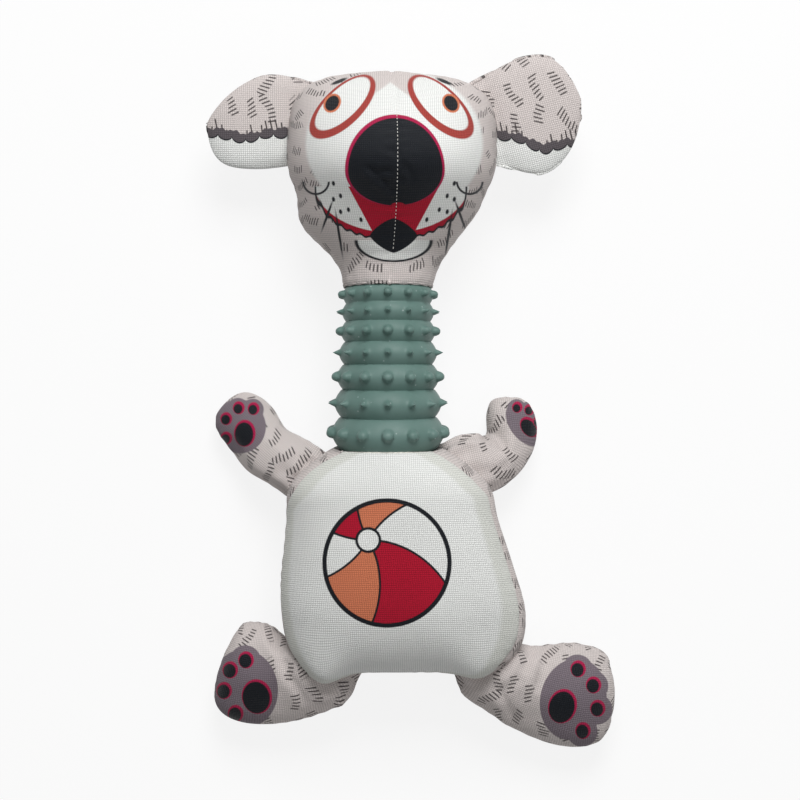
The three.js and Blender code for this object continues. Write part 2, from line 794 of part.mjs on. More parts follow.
const torso = new THREE.Group();
torso.add(
  piece('torso_belly_panel', torsoBellyPanel(), bellyMaterial),
  piece('torso_back_panel', torsoBackPanel(), clothMaterial),
  piece('torso_belly_stuffing', torsoBellyStuffing(), fillingMaterial),
  piece('torso_back_stuffing', torsoBackStuffing(), fillingMaterial),
  piece('squeaker_bellows', squeakerBellows(), plasticMaterial),
  piece('squeaker_reed_holder', squeakerReedHolder(), plasticMaterial),
  piece('squeaker_reed', squeakerReed(), plasticMaterial),
  piece(
    'torso_drawn_thread',
    drawnThread(bottomSpigotRadius, neckAcross, torsoTop - threadSeat),
    threadMaterial,
  ),
);

const limbs = [
  ['left_arm', leftArmShape, -1, leftArmRootHeight,
    { aim: leftArmAim, bend: leftArmBend, rootLine: leftArmRootLine }],
  ['right_arm', rightArmShape, 1, rightArmRootHeight,
    { aim: rightArmAim, bend: rightArmBend, rootLine: rightArmRootLine }],
  ['left_leg', leftLegShape, -1, legRootHeight,
    { aim: leftLegAim, bend: leftLegBend, rootLine: leftLegRootLine }],
  ['right_leg', rightLegShape, 1, legRootHeight,
    { aim: rightLegAim, bend: rightLegBend, rootLine: rightLegRootLine }],
];
const neckReach = bottomRibRadius + Math.max(fatNubHeight, spikeHeight) + seamGap;
const neckRoom = rod(neckReach, torsoTop, torsoTop + neckLength, neckSteps)
  .translate(neckAcross, 0, midHeight);
for (const [name, shape, side, height, lie] of limbs) {
  const flap = flapFrom(shape, torsoSections(0), side, height, lie);
  addFlap(torso, name, flap, swingRoom(flap, torsoClearance).add(neckRoom), 'stuffing');
}

// The neck stands on the torso's collar, and the head on the neck.
const neck = new THREE.Group();
neck.position.set(neckAcross, torsoTop, 0);
neck.add(
  piece('neck_tube', neckTube(), rubberMaterial),
  piece('neck_stuffing', neckStuffing(), fillingMaterial),
);

const head = new THREE.Group();
head.position.set(0, neckLength, 0);
head.add(
  piece('head_left_face_panel', headFacePanel(-1), bellyMaterial),
  piece('head_right_face_panel', headFacePanel(1), bellyMaterial),
  piece('head_back_panel', pressedFlat(headBackPanel()), clothMaterial),
  piece('head_stuffing', headStuffing(), fillingMaterial),
  piece('head_drawn_thread', drawnThread(topSpigotRadius, 0, threadSeat), threadMaterial),
);

const ears = [
  ['left_ear', leftEarShape, -1, { aim: leftEarAim, bend: 0, rootLine: leftEarRootLine }],
  ['right_ear', rightEarShape, 1, { aim: rightEarAim, bend: 0, rootLine: rightEarRootLine }],
];
for (const [name, shape, side, lie] of ears) {
  const flap = flapFrom(shape, headSections(0), side, earRootHeight, lie);
  addFlap(head, name, flap, swingRoom(flap, headClearance), 'wadding');
}

neck.add(head);
toy.add(torso, neck);

export default toy;
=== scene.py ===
"""Dresses the squeaky dog toy: canvas covers, ribbed rubber neck, filling, squeaker and studio.

Design sizes are in millimetres and degrees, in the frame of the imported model: the toy lies on its back,
+Z points up to its face and belly, +Y to its head and +X to the right as it is seen from above.
"""

import json
import logging
import math
from contextlib import contextmanager
from dataclasses import dataclass, field
from enum import Enum
from typing import Any, Callable, Iterator, Sequence

import bpy
import numpy as np
from mathutils import Matrix, Vector, noise

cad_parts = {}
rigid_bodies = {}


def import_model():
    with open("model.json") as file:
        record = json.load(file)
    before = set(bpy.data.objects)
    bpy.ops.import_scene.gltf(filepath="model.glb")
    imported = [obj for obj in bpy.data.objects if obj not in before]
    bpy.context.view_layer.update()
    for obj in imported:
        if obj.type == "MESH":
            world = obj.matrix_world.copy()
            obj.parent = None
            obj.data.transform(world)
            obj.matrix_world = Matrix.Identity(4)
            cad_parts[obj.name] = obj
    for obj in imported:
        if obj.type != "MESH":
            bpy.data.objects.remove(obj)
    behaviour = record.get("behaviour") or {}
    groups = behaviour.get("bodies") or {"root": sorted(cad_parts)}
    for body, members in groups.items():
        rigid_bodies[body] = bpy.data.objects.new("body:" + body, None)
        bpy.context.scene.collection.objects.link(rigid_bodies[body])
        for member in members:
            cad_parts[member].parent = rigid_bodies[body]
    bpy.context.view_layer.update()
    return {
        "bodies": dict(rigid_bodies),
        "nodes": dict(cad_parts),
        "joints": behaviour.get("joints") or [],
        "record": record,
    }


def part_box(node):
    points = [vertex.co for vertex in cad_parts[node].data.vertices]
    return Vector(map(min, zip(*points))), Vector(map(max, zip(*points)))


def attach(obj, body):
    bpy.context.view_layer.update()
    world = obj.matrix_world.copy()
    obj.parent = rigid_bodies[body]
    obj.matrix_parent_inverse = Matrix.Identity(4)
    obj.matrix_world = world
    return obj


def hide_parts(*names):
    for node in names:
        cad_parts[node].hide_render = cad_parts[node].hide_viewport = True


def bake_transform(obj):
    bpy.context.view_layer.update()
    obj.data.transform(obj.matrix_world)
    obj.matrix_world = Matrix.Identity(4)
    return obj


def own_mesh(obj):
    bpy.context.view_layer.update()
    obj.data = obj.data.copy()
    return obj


LOG = logging.getLogger("squeaky_dog_toy")
MM = 0.001

SEAM_HEIGHT = 33.0
NECK_ACROSS = -4.3
TORSO_TOP = 54.0
NECK_LENGTH = 77.0
HEAD_BASE = TORSO_TOP + NECK_LENGTH
CLOTH = 0.8
LOW_LEAN = 0.09
HIGH_LEAN = -0.055

Place = tuple[float, float, float]


def smooth(value: Any) -> Any:
    """Ease from 0 to 1 with level ends."""
    share = np.clip(value, 0.0, 1.0)
    return share * share * (3.0 - 2.0 * share)


def rise(value: Any) -> Any:
    """Ease from 0 to 1 that starts steep and ends level."""
    return 1.0 - (1.0 - np.clip(value, 0.0, 1.0)) ** 2


def round_end(share: Any, sharpness: float, root: float) -> Any:
    """Full width that closes to nothing at share 1."""
    return np.maximum(1.0 - np.clip(share, 0.0, 1.0) ** sharpness, 0.0) ** (1.0 / root)


def mix(low: Any, high: Any, share: Any) -> Any:
    """Value between two others."""
    return low + (high - low) * share


def bell(off: Any, width: Any) -> Any:
    """Bell curve of height 1 at a distance from its middle."""
    return np.exp(-((off / width) ** 2))


def beside_seam(far: np.ndarray, reach: float, flat: float) -> np.ndarray:
    """Share of the puckers beside a seam: none on it, most next to it and fewer further off."""
    return np.exp(-far / reach) * (1.0 - np.exp(-far / flat))


def on_neck(up: float) -> Place:
    """Point on the neck's axis at a height, in metres."""
    return (NECK_ACROSS * MM, up * MM, SEAM_HEIGHT * MM)


def heading(degrees: float) -> np.ndarray:
    """Unit vector in the plan at an angle from +X."""
    turn = math.radians(degrees)
    return np.array([math.cos(turn), math.sin(turn), 0.0])


def drift_noise(points: np.ndarray, size: float, seed: float) -> np.ndarray:
    """Smooth noise at points.

    Args:
        points: Points in millimetres, any shape that ends in 3.
        size: Length of one swell in millimetres.
        seed: Offset that gives each piece its own swells.

    Returns:
        Values of about -1 to 1, in the shape of the points without their last axis.
    """
    flat = points.reshape(-1, 3) / size + seed
    values = [noise.noise(Vector(point)) for point in flat]
    return np.array(values).reshape(points.shape[:-1])


def distances(points: np.ndarray) -> np.ndarray:
    """Distance of each point of a line from its first one, along it."""
    steps = np.linalg.norm(np.diff(points, axis=0), axis=1)
    return np.concatenate([[0.0], np.cumsum(steps)])


def between(place: Any, stops: np.ndarray, points: np.ndarray) -> np.ndarray:
    """Points of a line at places between its stops."""
    return np.stack([np.interp(place, stops, points[:, axis]) for axis in range(3)], axis=-1)


def lean_at(up: Any) -> Any:
    """Slope of the neck's rings at a height: near side low at the torso and high at the head."""
    return mix(LOW_LEAN, HIGH_LEAN, np.clip((up - TORSO_TOP) / NECK_LENGTH, 0.0, 1.0))


@dataclass(frozen=True)
class Lamp:
    """One square soft light: its place and side in millimetres and its power in watts."""

    name: str
    place: Place
    size: float
    power: float


class Studio:
    """Floor, soft light and the camera that looks straight down on the toy."""

    lamps = (
        Lamp("key_light", (120.0, 1000.0, 1100.0), 700.0, 18.3),
        Lamp("fill_light", (500.0, -400.0, 1250.0), 1100.0, 2.6),
    )
    sky_light = 0.22
    paper = (0.86, 0.86, 0.86, 1.0)
    paper_glow = 0.85
    white = (1.0, 1.0, 1.0, 1.0)
    view_centre = (1.44, 77.04)
    view_width = 384.0
    view_level = 30.0
    camera_height = 1700.0
    sensor = 36.0
    floor_size = 8000.0
    floor_drop = 0.2

    @classmethod
    def seen(cls, points: np.ndarray) -> np.ndarray:
        """Places of points on the level of the picture, as they are seen from above."""
        centre = np.array(cls.view_centre)
        nearer = (cls.camera_height - cls.view_level) / (cls.camera_height - points[..., 2:])
        return centre + (points[..., :2] - centre) * nearer

    def build(self) -> None:
        """Makes the floor, the world, the lamps and the camera."""
        bpy.context.scene.view_settings.view_transform = "Standard"
        self.add_floor()
        self.add_world()
        for lamp in self.lamps:
            self.add_lamp(lamp)
        self.add_camera()

    def add_floor(self) -> None:
        """Adds the pale floor, white to the camera and shaded by the toy."""
        Maker.clear_selection()
        bpy.ops.mesh.primitive_plane_add(size=self.floor_size * MM, location=(0.0, 0.0, 0.0))
        floor = bpy.context.active_object
        floor.name = "floor"
        floor.data.transform(Matrix.Translation((0.0, 0.0, -self.floor_drop * MM)))
        graph = Graph.of_material("floor_paper")
        seen = graph.node("ShaderNodeLightPath")
        glossy = graph.node("ShaderNodeLightPath", output="Is Glossy Ray")
        paper = graph.node("ShaderNodeBsdfDiffuse", {}, {"Color": self.paper}, "BSDF")
        glow = graph.node("ShaderNodeEmission", {}, {"Color": self.white, "Strength": 1.0}, "Emission")
        share = seen.largest(glossy) * self.paper_glow
        both = graph.node("ShaderNodeMixShader", {}, {0: share, 1: paper, 2: glow}, "Shader")
        graph.finish(both)
        floor.data.materials.append(graph.material)

    def add_world(self) -> None:
        """Fills the surroundings with even white light."""
        world = bpy.data.worlds.new("studio_white")
        bpy.context.scene.world = world
        world.use_nodes = True
        graph = Graph(world.node_tree)
        seen = graph.node("ShaderNodeLightPath")
        around = self.sky_light + seen * (1.0 - self.sky_light)
        sky = graph.node("ShaderNodeBackground", {}, {"Color": self.white, "Strength": around})
        end = next(n for n in world.node_tree.nodes if n.type == "OUTPUT_WORLD")
        world.node_tree.links.new(sky.socket, end.inputs["Surface"])

    def add_lamp(self, lamp: Lamp) -> None:
        """Adds one lamp that faces the middle of the toy."""
        data = bpy.data.lights.new(lamp.name, "AREA")
        data.shape = "SQUARE"
        data.size = lamp.size * MM
        data.energy = lamp.power
        light = bpy.data.objects.new(lamp.name, data)
        bpy.context.scene.collection.objects.link(light)
        light.location = Vector(lamp.place) * MM
        target = Vector((*self.view_centre, self.view_level)) * MM
        light.rotation_euler = (target - light.location).to_track_quat("-Z", "Y").to_euler()

    def add_camera(self) -> None:
        """Adds the camera over the middle of the picture."""
        data = bpy.data.cameras.new("camera")
        data.sensor_width = self.sensor
        data.lens = self.sensor * (self.camera_height - self.view_level) / self.view_width
        data.clip_end = 20.0
        camera = bpy.data.objects.new("camera", data)
        bpy.context.scene.collection.objects.link(camera)
        camera.location = Vector((*self.view_centre, self.camera_height)) * MM
        bpy.context.scene.camera = camera


class Wire:
    """A shader socket that takes part in Python expressions."""

    def __init__(self, graph: "Graph", socket: bpy.types.NodeSocket) -> None:
        """Keeps the socket and the graph that it belongs to."""
        self.graph = graph
        self.socket = socket

    def math(self, operation: str, *others: Any) -> "Wire":
        """Adds one Math node with this value first."""
        return self.graph.math(operation, self, *others)

    def __add__(self, other: Any) -> "Wire":
        """Sum."""
        return self.math("ADD", other)

    __radd__ = __add__

    def __sub__(self, other: Any) -> "Wire":
        """Difference."""
        return self.math("SUBTRACT", other)

    def __rsub__(self, other: Any) -> "Wire":
        """Difference, reflected."""
        return self.graph.math("SUBTRACT", other, self)

    def __mul__(self, other: Any) -> "Wire":
        """Product."""
        return self.math("MULTIPLY", other)

    __rmul__ = __mul__

    def __truediv__(self, other: Any) -> "Wire":
        """Quotient."""
        return self.math("DIVIDE", other)

    def __pow__(self, other: Any) -> "Wire":
        """Power."""
        return self.math("POWER", other)

    def __abs__(self) -> "Wire":
        """Size without the sign."""
        return self.math("ABSOLUTE")

    def smallest(self, other: Any) -> "Wire":
        """Lower of two values."""
        return self.math("MINIMUM", other)

    def largest(self, other: Any) -> "Wire":
        """Higher of two values."""
        return self.math("MAXIMUM", other)

    def clamped(self) -> "Wire":
        """Value held between 0 and 1."""
        return self.graph.node("ShaderNodeClamp", {}, {"Value": self})


class Graph:
    """A node tree that is written as expressions."""

    def __init__(self, tree: bpy.types.NodeTree, material: bpy.types.Material | None = None) -> None:
        """Keeps the tree, and the material that it belongs to."""
        self.tree = tree
        self.material = material

    @classmethod
    def of_material(cls, name: str) -> "Graph":
        """Starts a new material with an empty tree."""
        material = bpy.data.materials.new(name)
        material.use_nodes = True
        material.node_tree.nodes.clear()
        return cls(material.node_tree, material)

    def node(
        self,
        kind: str,
        settings: dict[str, Any] | None = None,
        links: dict[Any, Any] | None = None,
        output: Any = 0,
    ) -> Wire:
        """Adds a node.

        Args:
            kind: Blender's type name of the node.
            settings: Properties that are set first.
            links: Values or wires of its input sockets, by name or place.
            output: Name or place of the output that is wanted.

        Returns:
            The wire from that output.
        """
        made = self.tree.nodes.new(kind)
        for name, value in (settings or {}).items():
            setattr(made, name, value)
        for name, value in (links or {}).items():
            if isinstance(value, Wire):
                self.tree.links.new(value.socket, made.inputs[name])
            else:
                made.inputs[name].default_value = value
        return Wire(self, made.outputs[output])

    def math(self, operation: str, *values: Any) -> Wire:
        """Adds one Math node."""
        return self.node("ShaderNodeMath", {"operation": operation}, dict(enumerate(values)))

    def blend(self, share: Wire, low: Any, high: Any) -> Wire:
        """Mixes two colours by a share."""
        settings = {"data_type": "RGBA", "clamp_factor": True}
        return self.node("ShaderNodeMix", settings, {0: share, 6: low, 7: high}, 2)

    def shade(self, colour: Any, share: Wire) -> Wire:
        """Multiplies a colour by a grey value."""
        grey = self.node("ShaderNodeCombineColor", {}, {0: share, 1: share, 2: share})
        settings = {"data_type": "RGBA", "blend_type": "MULTIPLY"}
        return self.node("ShaderNodeMix", settings, {0: 1.0, 6: colour, 7: grey}, 2)

    def parts(self, vector: Wire) -> tuple[Wire, Wire, Wire]:
        """Splits a vector into its three values."""
        made = self.tree.nodes.new("ShaderNodeSeparateXYZ")
        self.tree.links.new(vector.socket, made.inputs[0])
        return Wire(self, made.outputs[0]), Wire(self, made.outputs[1]), Wire(self, made.outputs[2])

    def vector(self, x: Any, y: Any) -> Wire:
        """Joins two values into a vector."""
        return self.node("ShaderNodeCombineXYZ", {}, {0: x, 1: y})

    def map(self, name: str) -> tuple[Wire, Wire]:
        """Reads the two values of a piece's own map."""
        x, y, _ = self.parts(self.node("ShaderNodeUVMap", {"uv_map": name}))
        return x, y

    def place(self) -> Wire:
        """Reads the point on the object, in metres."""
        return self.node("ShaderNodeTexCoord", {}, {}, "Object")

    def swirl(self, vector: Wire, scale: float, detail: float) -> Wire:
        """Adds noise of 0 to 1."""
        links = {"Vector": vector, "Scale": scale, "Detail": detail}
        return self.node("ShaderNodeTexNoise", {"noise_dimensions": "3D"}, links)

    def bump(self, height: Wire, depth: float, strength: float) -> Wire:
        """Adds relief.

        Args:
            height: Relief of 0 to 1.
            depth: Height of that relief in millimetres.
            strength: Share of it that shows.

        Returns:
            The normal.
        """
        links = {"Height": height, "Distance": depth * MM, "Strength": strength}
        return self.node("ShaderNodeBump", {}, links)

    def scatter(self, vector: Wire, scale: float, spread: float, flat: bool) -> tuple[Wire, Wire, Wire]:
        """Scatters points.

        Args:
            vector: Where the pattern is read.
            scale: Points for each unit of length.
            spread: Share of disorder, from 0 to 1.
            flat: True for a pattern in two directions only.

        Returns:
            Distance from the nearest point, that point's three random values, and its place.
        """
        settings = {"voronoi_dimensions": "2D" if flat else "3D", "feature": "F1"}
        links = {"Vector": vector, "Scale": scale, "Randomness": spread}
        near = self.node("ShaderNodeTexVoronoi", settings, links, "Distance")
        outputs = near.socket.node.outputs
        return near, Wire(self, outputs["Color"]), Wire(self, outputs["Position"])

    def surface(self, values: dict[str, Any]) -> None:
        """Ends the material in one principled surface."""
        self.finish(self.node("ShaderNodeBsdfPrincipled", {}, values, "BSDF"))

    def finish(self, shader: Wire) -> None:
        """Ends the material in a shader."""
        end = self.tree.nodes.new("ShaderNodeOutputMaterial")
        self.tree.links.new(shader.socket, end.inputs["Surface"])


class Ink(Enum):
    """Colours of the cloth and of what is printed on it."""

    WHITE = (0.80, 0.81, 0.79, 1.0)
    SIDE_BAND = (0.60, 0.61, 0.54, 1.0)
    TICKED = (0.635, 0.577, 0.558, 1.0)
    TICK = (0.055, 0.046, 0.046, 1.0)
    BLACK = (0.002, 0.004, 0.008, 1.0)
    MAGENTA = (0.42, 0.012, 0.07, 1.0)
    RED = (0.42, 0.004, 0.025, 1.0)
    RIM = (0.37, 0.05, 0.04, 1.0)
    ORANGE = (0.62, 0.19, 0.095, 1.0)
    SOLE = (0.20, 0.165, 0.19, 1.0)
    EAR_BAND = (0.105, 0.092, 0.10, 1.0)


@dataclass(frozen=True)
class Spot:
    """An ellipse of a print, placed on the plan in millimetres and turned in degrees."""

    x: float
    y: float
    across: float
    high: float
    turn: float = 0.0

    def grown(self, extra: float, dx: float = 0.0, dy: float = 0.0) -> "Spot":
        """Same ellipse with more width all round, moved if asked."""
        return Spot(self.x + dx, self.y + dy, self.across + extra, self.high + extra, self.turn)


class Painter:
    """Lays flat shapes of ink over a cloth colour, one over the other."""

    edge = 0.4
    ink_dark = 0.12
    ink_gloss = 2.8
    row_wide = 17.0
    row_high = 11.0
    row_disorder = 0.55
    row_turn = 1.3
    row_bow = 0.022
    row_fan = 0.02
    stroke_pitch = 1.9
    stroke_width = 0.74
    stroke_length = 4.8
    stroke_lean = 0.9
    stroke_shift = 1.6
    stroke_loss = 1.4
    fewest_strokes = 1.7
    more_strokes = 2.4
    stroke_ink = 0.92
    chance = (12.9898, 78.233)

    def __init__(self, graph: Graph, base: Ink) -> None:
        """Starts with a plain cloth."""
        self.graph = graph
        self.x, self.y = graph.map("Plan")
        self.side, _ = graph.map("Panel")
        self.s, self.t = graph.map("Cloth")
        self.colour: Any = base.value
        self.limit: Wire | None = None

    def fill(self, share: Wire, ink: Ink) -> None:
        """Prints an ink where the share is 1, inside the limit if there is one."""
        kept = share if self.limit is None else share * self.limit
        self.colour = self.graph.blend(kept, self.colour, ink.value)

    def gloss(self, cloth: float) -> Wire:
        """Roughness: the cloth's own, and smoother where dark ink lies on it."""
        light, _, _ = self.graph.parts(self.colour)
        return cloth - (self.ink_dark - light).largest(0.0) * self.ink_gloss

    def uneven(self, number: Wire, seed: Any) -> Wire:
        """Random share of 0 to 1 for a whole number."""
        return (number * self.chance[0] + seed).math("SINE").math("FRACT")

    def reach(self, spot: Spot) -> Wire:
        """Distance in millimetres from a spot's edge, negative inside it."""
        turn = math.radians(spot.turn)
        dx = self.x - spot.x
        dy = self.y - spot.y
        along = (dx * math.cos(turn) + dy * math.sin(turn)) / spot.across
        over = (dy * math.cos(turn) - dx * math.sin(turn)) / spot.high
        share = (along * along + over * over).math("SQRT")
        return (share - 1.0) * min(spot.across, spot.high)

    def egg(self, x: float, y: float, across: float, above: float, below: float) -> Wire:
        """Distance in millimetres from the edge of an egg that is widest at y, negative inside it."""
        dx = (self.x - x) / across
        up = self.y - y
        dy = up.largest(0.0) / above + up.smallest(0.0) / below
        return ((dx * dx + dy * dy).math("SQRT") - 1.0) * across

    def within(self, distance: Wire, soft: float | None = None) -> Wire:
        """Share of 1 where a distance is negative, with a narrow edge."""
        return (0.5 - distance / (soft or self.edge)).clamped()

    def dab(self, spot: Spot, ink: Ink) -> None:
        """Prints one ellipse."""
        self.fill(self.within(self.reach(spot)), ink)

    def ring(self, spot: Spot, width: float, ink: Ink, keep: Wire | None = None) -> None:
        """Prints the outline of an ellipse.

        Args:
            spot: The ellipse.
            width: Width of the line in millimetres.
            ink: Its ink.
            keep: Share where the line is kept.
        """
        line = self.within(abs(self.reach(spot)) - width / 2.0)
        self.fill(line if keep is None else line * keep, ink)

    def ticks(self, seed: float) -> None:
        """Prints rows of short fur strokes, each row with its own turn and count.

        Args:
            seed: Offset that gives each piece its own rows.
        """
        graph = self.graph
        vector = graph.vector(self.s / self.row_wide + seed, self.t / self.row_high + seed)
        _, mixed, cell = graph.scatter(vector, 1.0, self.row_disorder, True)
        px, py, _ = graph.parts(cell)
        vx, vy, _ = graph.parts(vector)
        first, second, third = graph.parts(mixed)
        across = (vx - px) * self.row_wide
        up = (vy - py) * self.row_high
        turn = (first - 0.5) * self.row_turn
        cos, sin = turn.math("COSINE"), turn.math("SINE")
        row = across * cos + up * sin
        bowed = up * cos - across * sin - row * row * self.row_bow
        leaning = row + bowed * ((third - 0.5) * self.stroke_lean + row * self.row_fan)
        number = (leaning / self.stroke_pitch).math("ROUND")
        line = self.within(abs(leaning - number * self.stroke_pitch) - self.stroke_width / 2.0, 0.3)
        uneven = self.uneven(number, second * self.chance[1])
        length = self.stroke_length - uneven * self.stroke_loss
        long = self.within(abs(bowed + (uneven - 0.5) * self.stroke_shift) - length / 2.0, 0.6)
        count = self.within(abs(number) - (self.fewest_strokes + second * self.more_strokes), 0.1)
        self.fill(line * long * count * self.stroke_ink, Ink.TICK)


class Canvas:
    """Plain-woven canvas with a print."""

    pitch = 1.0
    relief = 0.3
    relief_share = 0.75
    slub_scale = 0.35
    slub_shift = 0.5
    fibre_scale = 2.3
    fibre_share = 0.2
    thread_round = 0.55
    gap_tone = 0.60
    thread_tone = 0.58
    soil_scale = 22.0
    soil_tone = 0.06
    clean_tone = 0.965
    roughness = 0.92
    polish = 0.06
    specular = 0.22
    sheen = 0.08
    sheen_roughness = 0.5

    def __init__(self, name: str, base: Ink, paint: Callable[[Painter], None]) -> None:
        """Keeps the finish's name, its cloth colour and what is printed on it."""
        self.name = name
        self.base = base
        self.paint = paint

    def build(self) -> bpy.types.Material:
        """Makes the material."""
        graph = Graph.of_material(self.name)
        painter = Painter(graph, self.base)
        self.paint(painter)
        cloth = graph.vector(painter.s, painter.t)
        slub = graph.swirl(cloth, self.slub_scale, 1.0) * self.slub_shift
        fibre = graph.swirl(cloth, self.fibre_scale, 2.0)
        warp = ((painter.s + slub) * (math.pi / self.pitch)).math("SINE")
        weft = ((painter.t + slub) * (math.pi / self.pitch)).math("SINE")
        thread = abs(warp * weft) ** self.thread_round
        woven = thread * (1.0 - self.fibre_share) + fibre * self.fibre_share
        soil = graph.swirl(graph.place(), self.soil_scale, 2.0)
        tone = (self.gap_tone + woven * self.thread_tone) * (self.clean_tone + soil * self.soil_tone)
        values = {
            "Base Color": graph.shade(painter.colour, tone),
            "Roughness": painter.gloss(self.roughness) - thread * self.polish,
            "Normal": graph.bump(woven, self.relief, self.relief_share),
            "Specular IOR Level": self.specular,
            "Sheen Weight": self.sheen,
            "Sheen Roughness": self.sheen_roughness,
        }
        graph.surface(values)
        return graph.material


@dataclass(frozen=True)
class PlainFinish:
    """A finish with one colour, cloudy variation and a fine grain."""

    name: str
    colour: tuple[float, float, float, float]
    roughness: float
    grain: float
    relief: float
    cloud: float = 0.08
    cloud_scale: float = 60.0
    polish: float = 0.06
    relief_share: float = 0.6

    def build(self) -> bpy.types.Material:
        """Makes the material."""
        graph = Graph.of_material(self.name)
        cloud = graph.swirl(graph.place(), self.cloud_scale, 3.0)
        grain = graph.swirl(graph.place(), 1.0 / (self.grain * MM), 3.0)
        values = {
            "Base Color": graph.shade(self.colour, (1.0 - self.cloud) + cloud * (2.0 * self.cloud)),
            "Roughness": (self.roughness - self.polish) + grain * (2.0 * self.polish),
            "Normal": graph.bump(grain, self.relief, self.relief_share),
        }
        graph.surface(values)
        return graph.material


class Rubber:
    """Matt moulded rubber with a faint bloom, and pale specks that are partly dust and partly painted
    glints of light.
    """

    colour = (0.105, 0.186, 0.164, 1.0)
    bloom = (0.142, 0.228, 0.207, 1.0)
    # Colour of the pale specks: partly dust, partly painted glints of light.
    dust_and_glint_colour = (0.42, 0.5, 0.48, 1.0)
    cloud_scale = 70.0
    skin_scale = 900.0
    skin_relief = 0.05
    dust_and_glint_scale = 330.0
    dust_and_glint_size = 0.16
    dust_and_glint_edge = 12.0
    dust_and_glint_rarity = 0.8
    rarity_edge = 8.0
    dust_and_glint_cover = 0.7
    bloom_contrast = 1.6
    bloom_shift = 0.45
    roughness = 0.42
    specular = 0.35

    def build(self) -> bpy.types.Material:
        """Makes the material."""
        graph = Graph.of_material("sage_rubber")
        place = graph.place()
        cloud = graph.swirl(place, self.cloud_scale, 3.0)
        skin = graph.swirl(place, self.skin_scale, 3.0)
        # Pale specks over the tube: partly dust, partly painted glints of light, blended into the colour.
        near, mixed, _ = graph.scatter(place, self.dust_and_glint_scale, 1.0, False)
        kind = graph.parts(mixed)[0]
        size = ((self.dust_and_glint_size - near) * self.dust_and_glint_edge).clamped()
        dust_and_glint = size * ((kind - self.dust_and_glint_rarity) * self.rarity_edge).clamped()
        bloom = (cloud * self.bloom_contrast - self.bloom_shift).clamped()
        bloomed = graph.blend(bloom, self.colour, self.bloom)
        values = {
            "Base Color": graph.blend(dust_and_glint * self.dust_and_glint_cover, bloomed, self.dust_and_glint_colour),
            "Roughness": self.roughness + skin * 0.16 + dust_and_glint * 0.2,
            "Normal": graph.bump(skin, self.skin_relief, 0.5),
            "Specular IOR Level": self.specular,
        }
        graph.surface(values)
        return graph.material


class TwistedThread:
    """Waxed thread that lies in a ring round the neck."""

    turns = 58.0
    turns_along = 4000.0
    fuzz_scale = 1800.0
    relief = 0.25
    colour = (0.74, 0.72, 0.66, 1.0)

    def build(self) -> bpy.types.Material:
        """Makes the material."""
        graph = Graph.of_material("drawn_thread")
        x, y, z = graph.parts(graph.place())
        angle = graph.math("ARCTAN2", z - SEAM_HEIGHT * MM, x - NECK_ACROSS * MM)
        twist = (angle * self.turns + y * self.turns_along).math("SINE") * 0.5 + 0.5
        fuzz = graph.swirl(graph.place(), self.fuzz_scale, 2.0)
        values = {
            "Base Color": graph.shade(self.colour, 0.72 + twist * 0.2 + fuzz * 0.1),
            "Roughness": 0.7 + fuzz * 0.15,
            "Normal": graph.bump(twist, self.relief, 0.7),
        }
        graph.surface(values)
        return graph.material


@dataclass(frozen=True)
class Sections:
    """Cross-sections of a stuffed form, one row for each."""

    centre: np.ndarray
    across: np.ndarray
    out: np.ndarray
    half: np.ndarray
    front: np.ndarray
    back: np.ndarray
    power: np.ndarray
    other_half: np.ndarray | None = None

    def points(self, steps: int) -> np.ndarray:
        """Points round every section, from one side seam over the front to the other and back behind."""
        angles = np.arange(steps) * (math.tau / steps)
        cos, sin = np.cos(angles), np.sin(angles)
        squared = 2.0 / self.power[:, None]
        side = np.sign(cos) * np.abs(cos) ** squared
        face = np.sign(sin) * np.abs(sin) ** squared
        depth = np.where(face >= 0.0, self.front[:, None], self.back[:, None])
        other = self.half if self.other_half is None else self.other_half
        reach = np.where(side >= 0.0, self.half[:, None], other[:, None])
        wide = (reach * side)[..., None] * self.across[:, None, :]
        deep = (depth * face)[..., None] * self.out[:, None, :]
        return self.centre[:, None, :] + wide + deep


class Form:
    """A stuffed form that is lofted through its sections, closed at its far end."""

    fine_count = 3000

    def sections(self, share: np.ndarray) -> Sections:
        """Cross-sections at shares of the form's length."""
        raise NotImplementedError

    def stations(self, rows: int) -> np.ndarray:
        """Shares that lie evenly over the surface from the open end to the closed one."""
        fine = 1.0 - (1.0 - np.linspace(0.0, 1.0, self.fine_count)) ** 3
        cut = self.sections(fine)
        side = cut.centre + cut.across * cut.half[:, None]
        face = cut.centre + cut.out * cut.front[:, None]
        step = sum(np.linalg.norm(np.diff(line, axis=0), axis=1) for line in (side, face))
        length = np.concatenate([[0.0], np.cumsum(step)])
        return np.interp(np.linspace(0.0, length[-1], rows), length, fine)

    def grid(self, rows: int, steps: int) -> np.ndarray:
        """Even grid of points over the form."""
        return self.sections(self.stations(rows)).points(steps)

    def seam_shift(self, points: np.ndarray) -> np.ndarray:
        """How far the sewn edge of the front lies in front of the form's side, at points."""
        return np.zeros(points.shape[:-1])


def facing(count: int, vector: Sequence[float]) -> np.ndarray:
    """Same vector for every section."""
    return np.tile(np.array(vector, dtype=float), (count, 1))


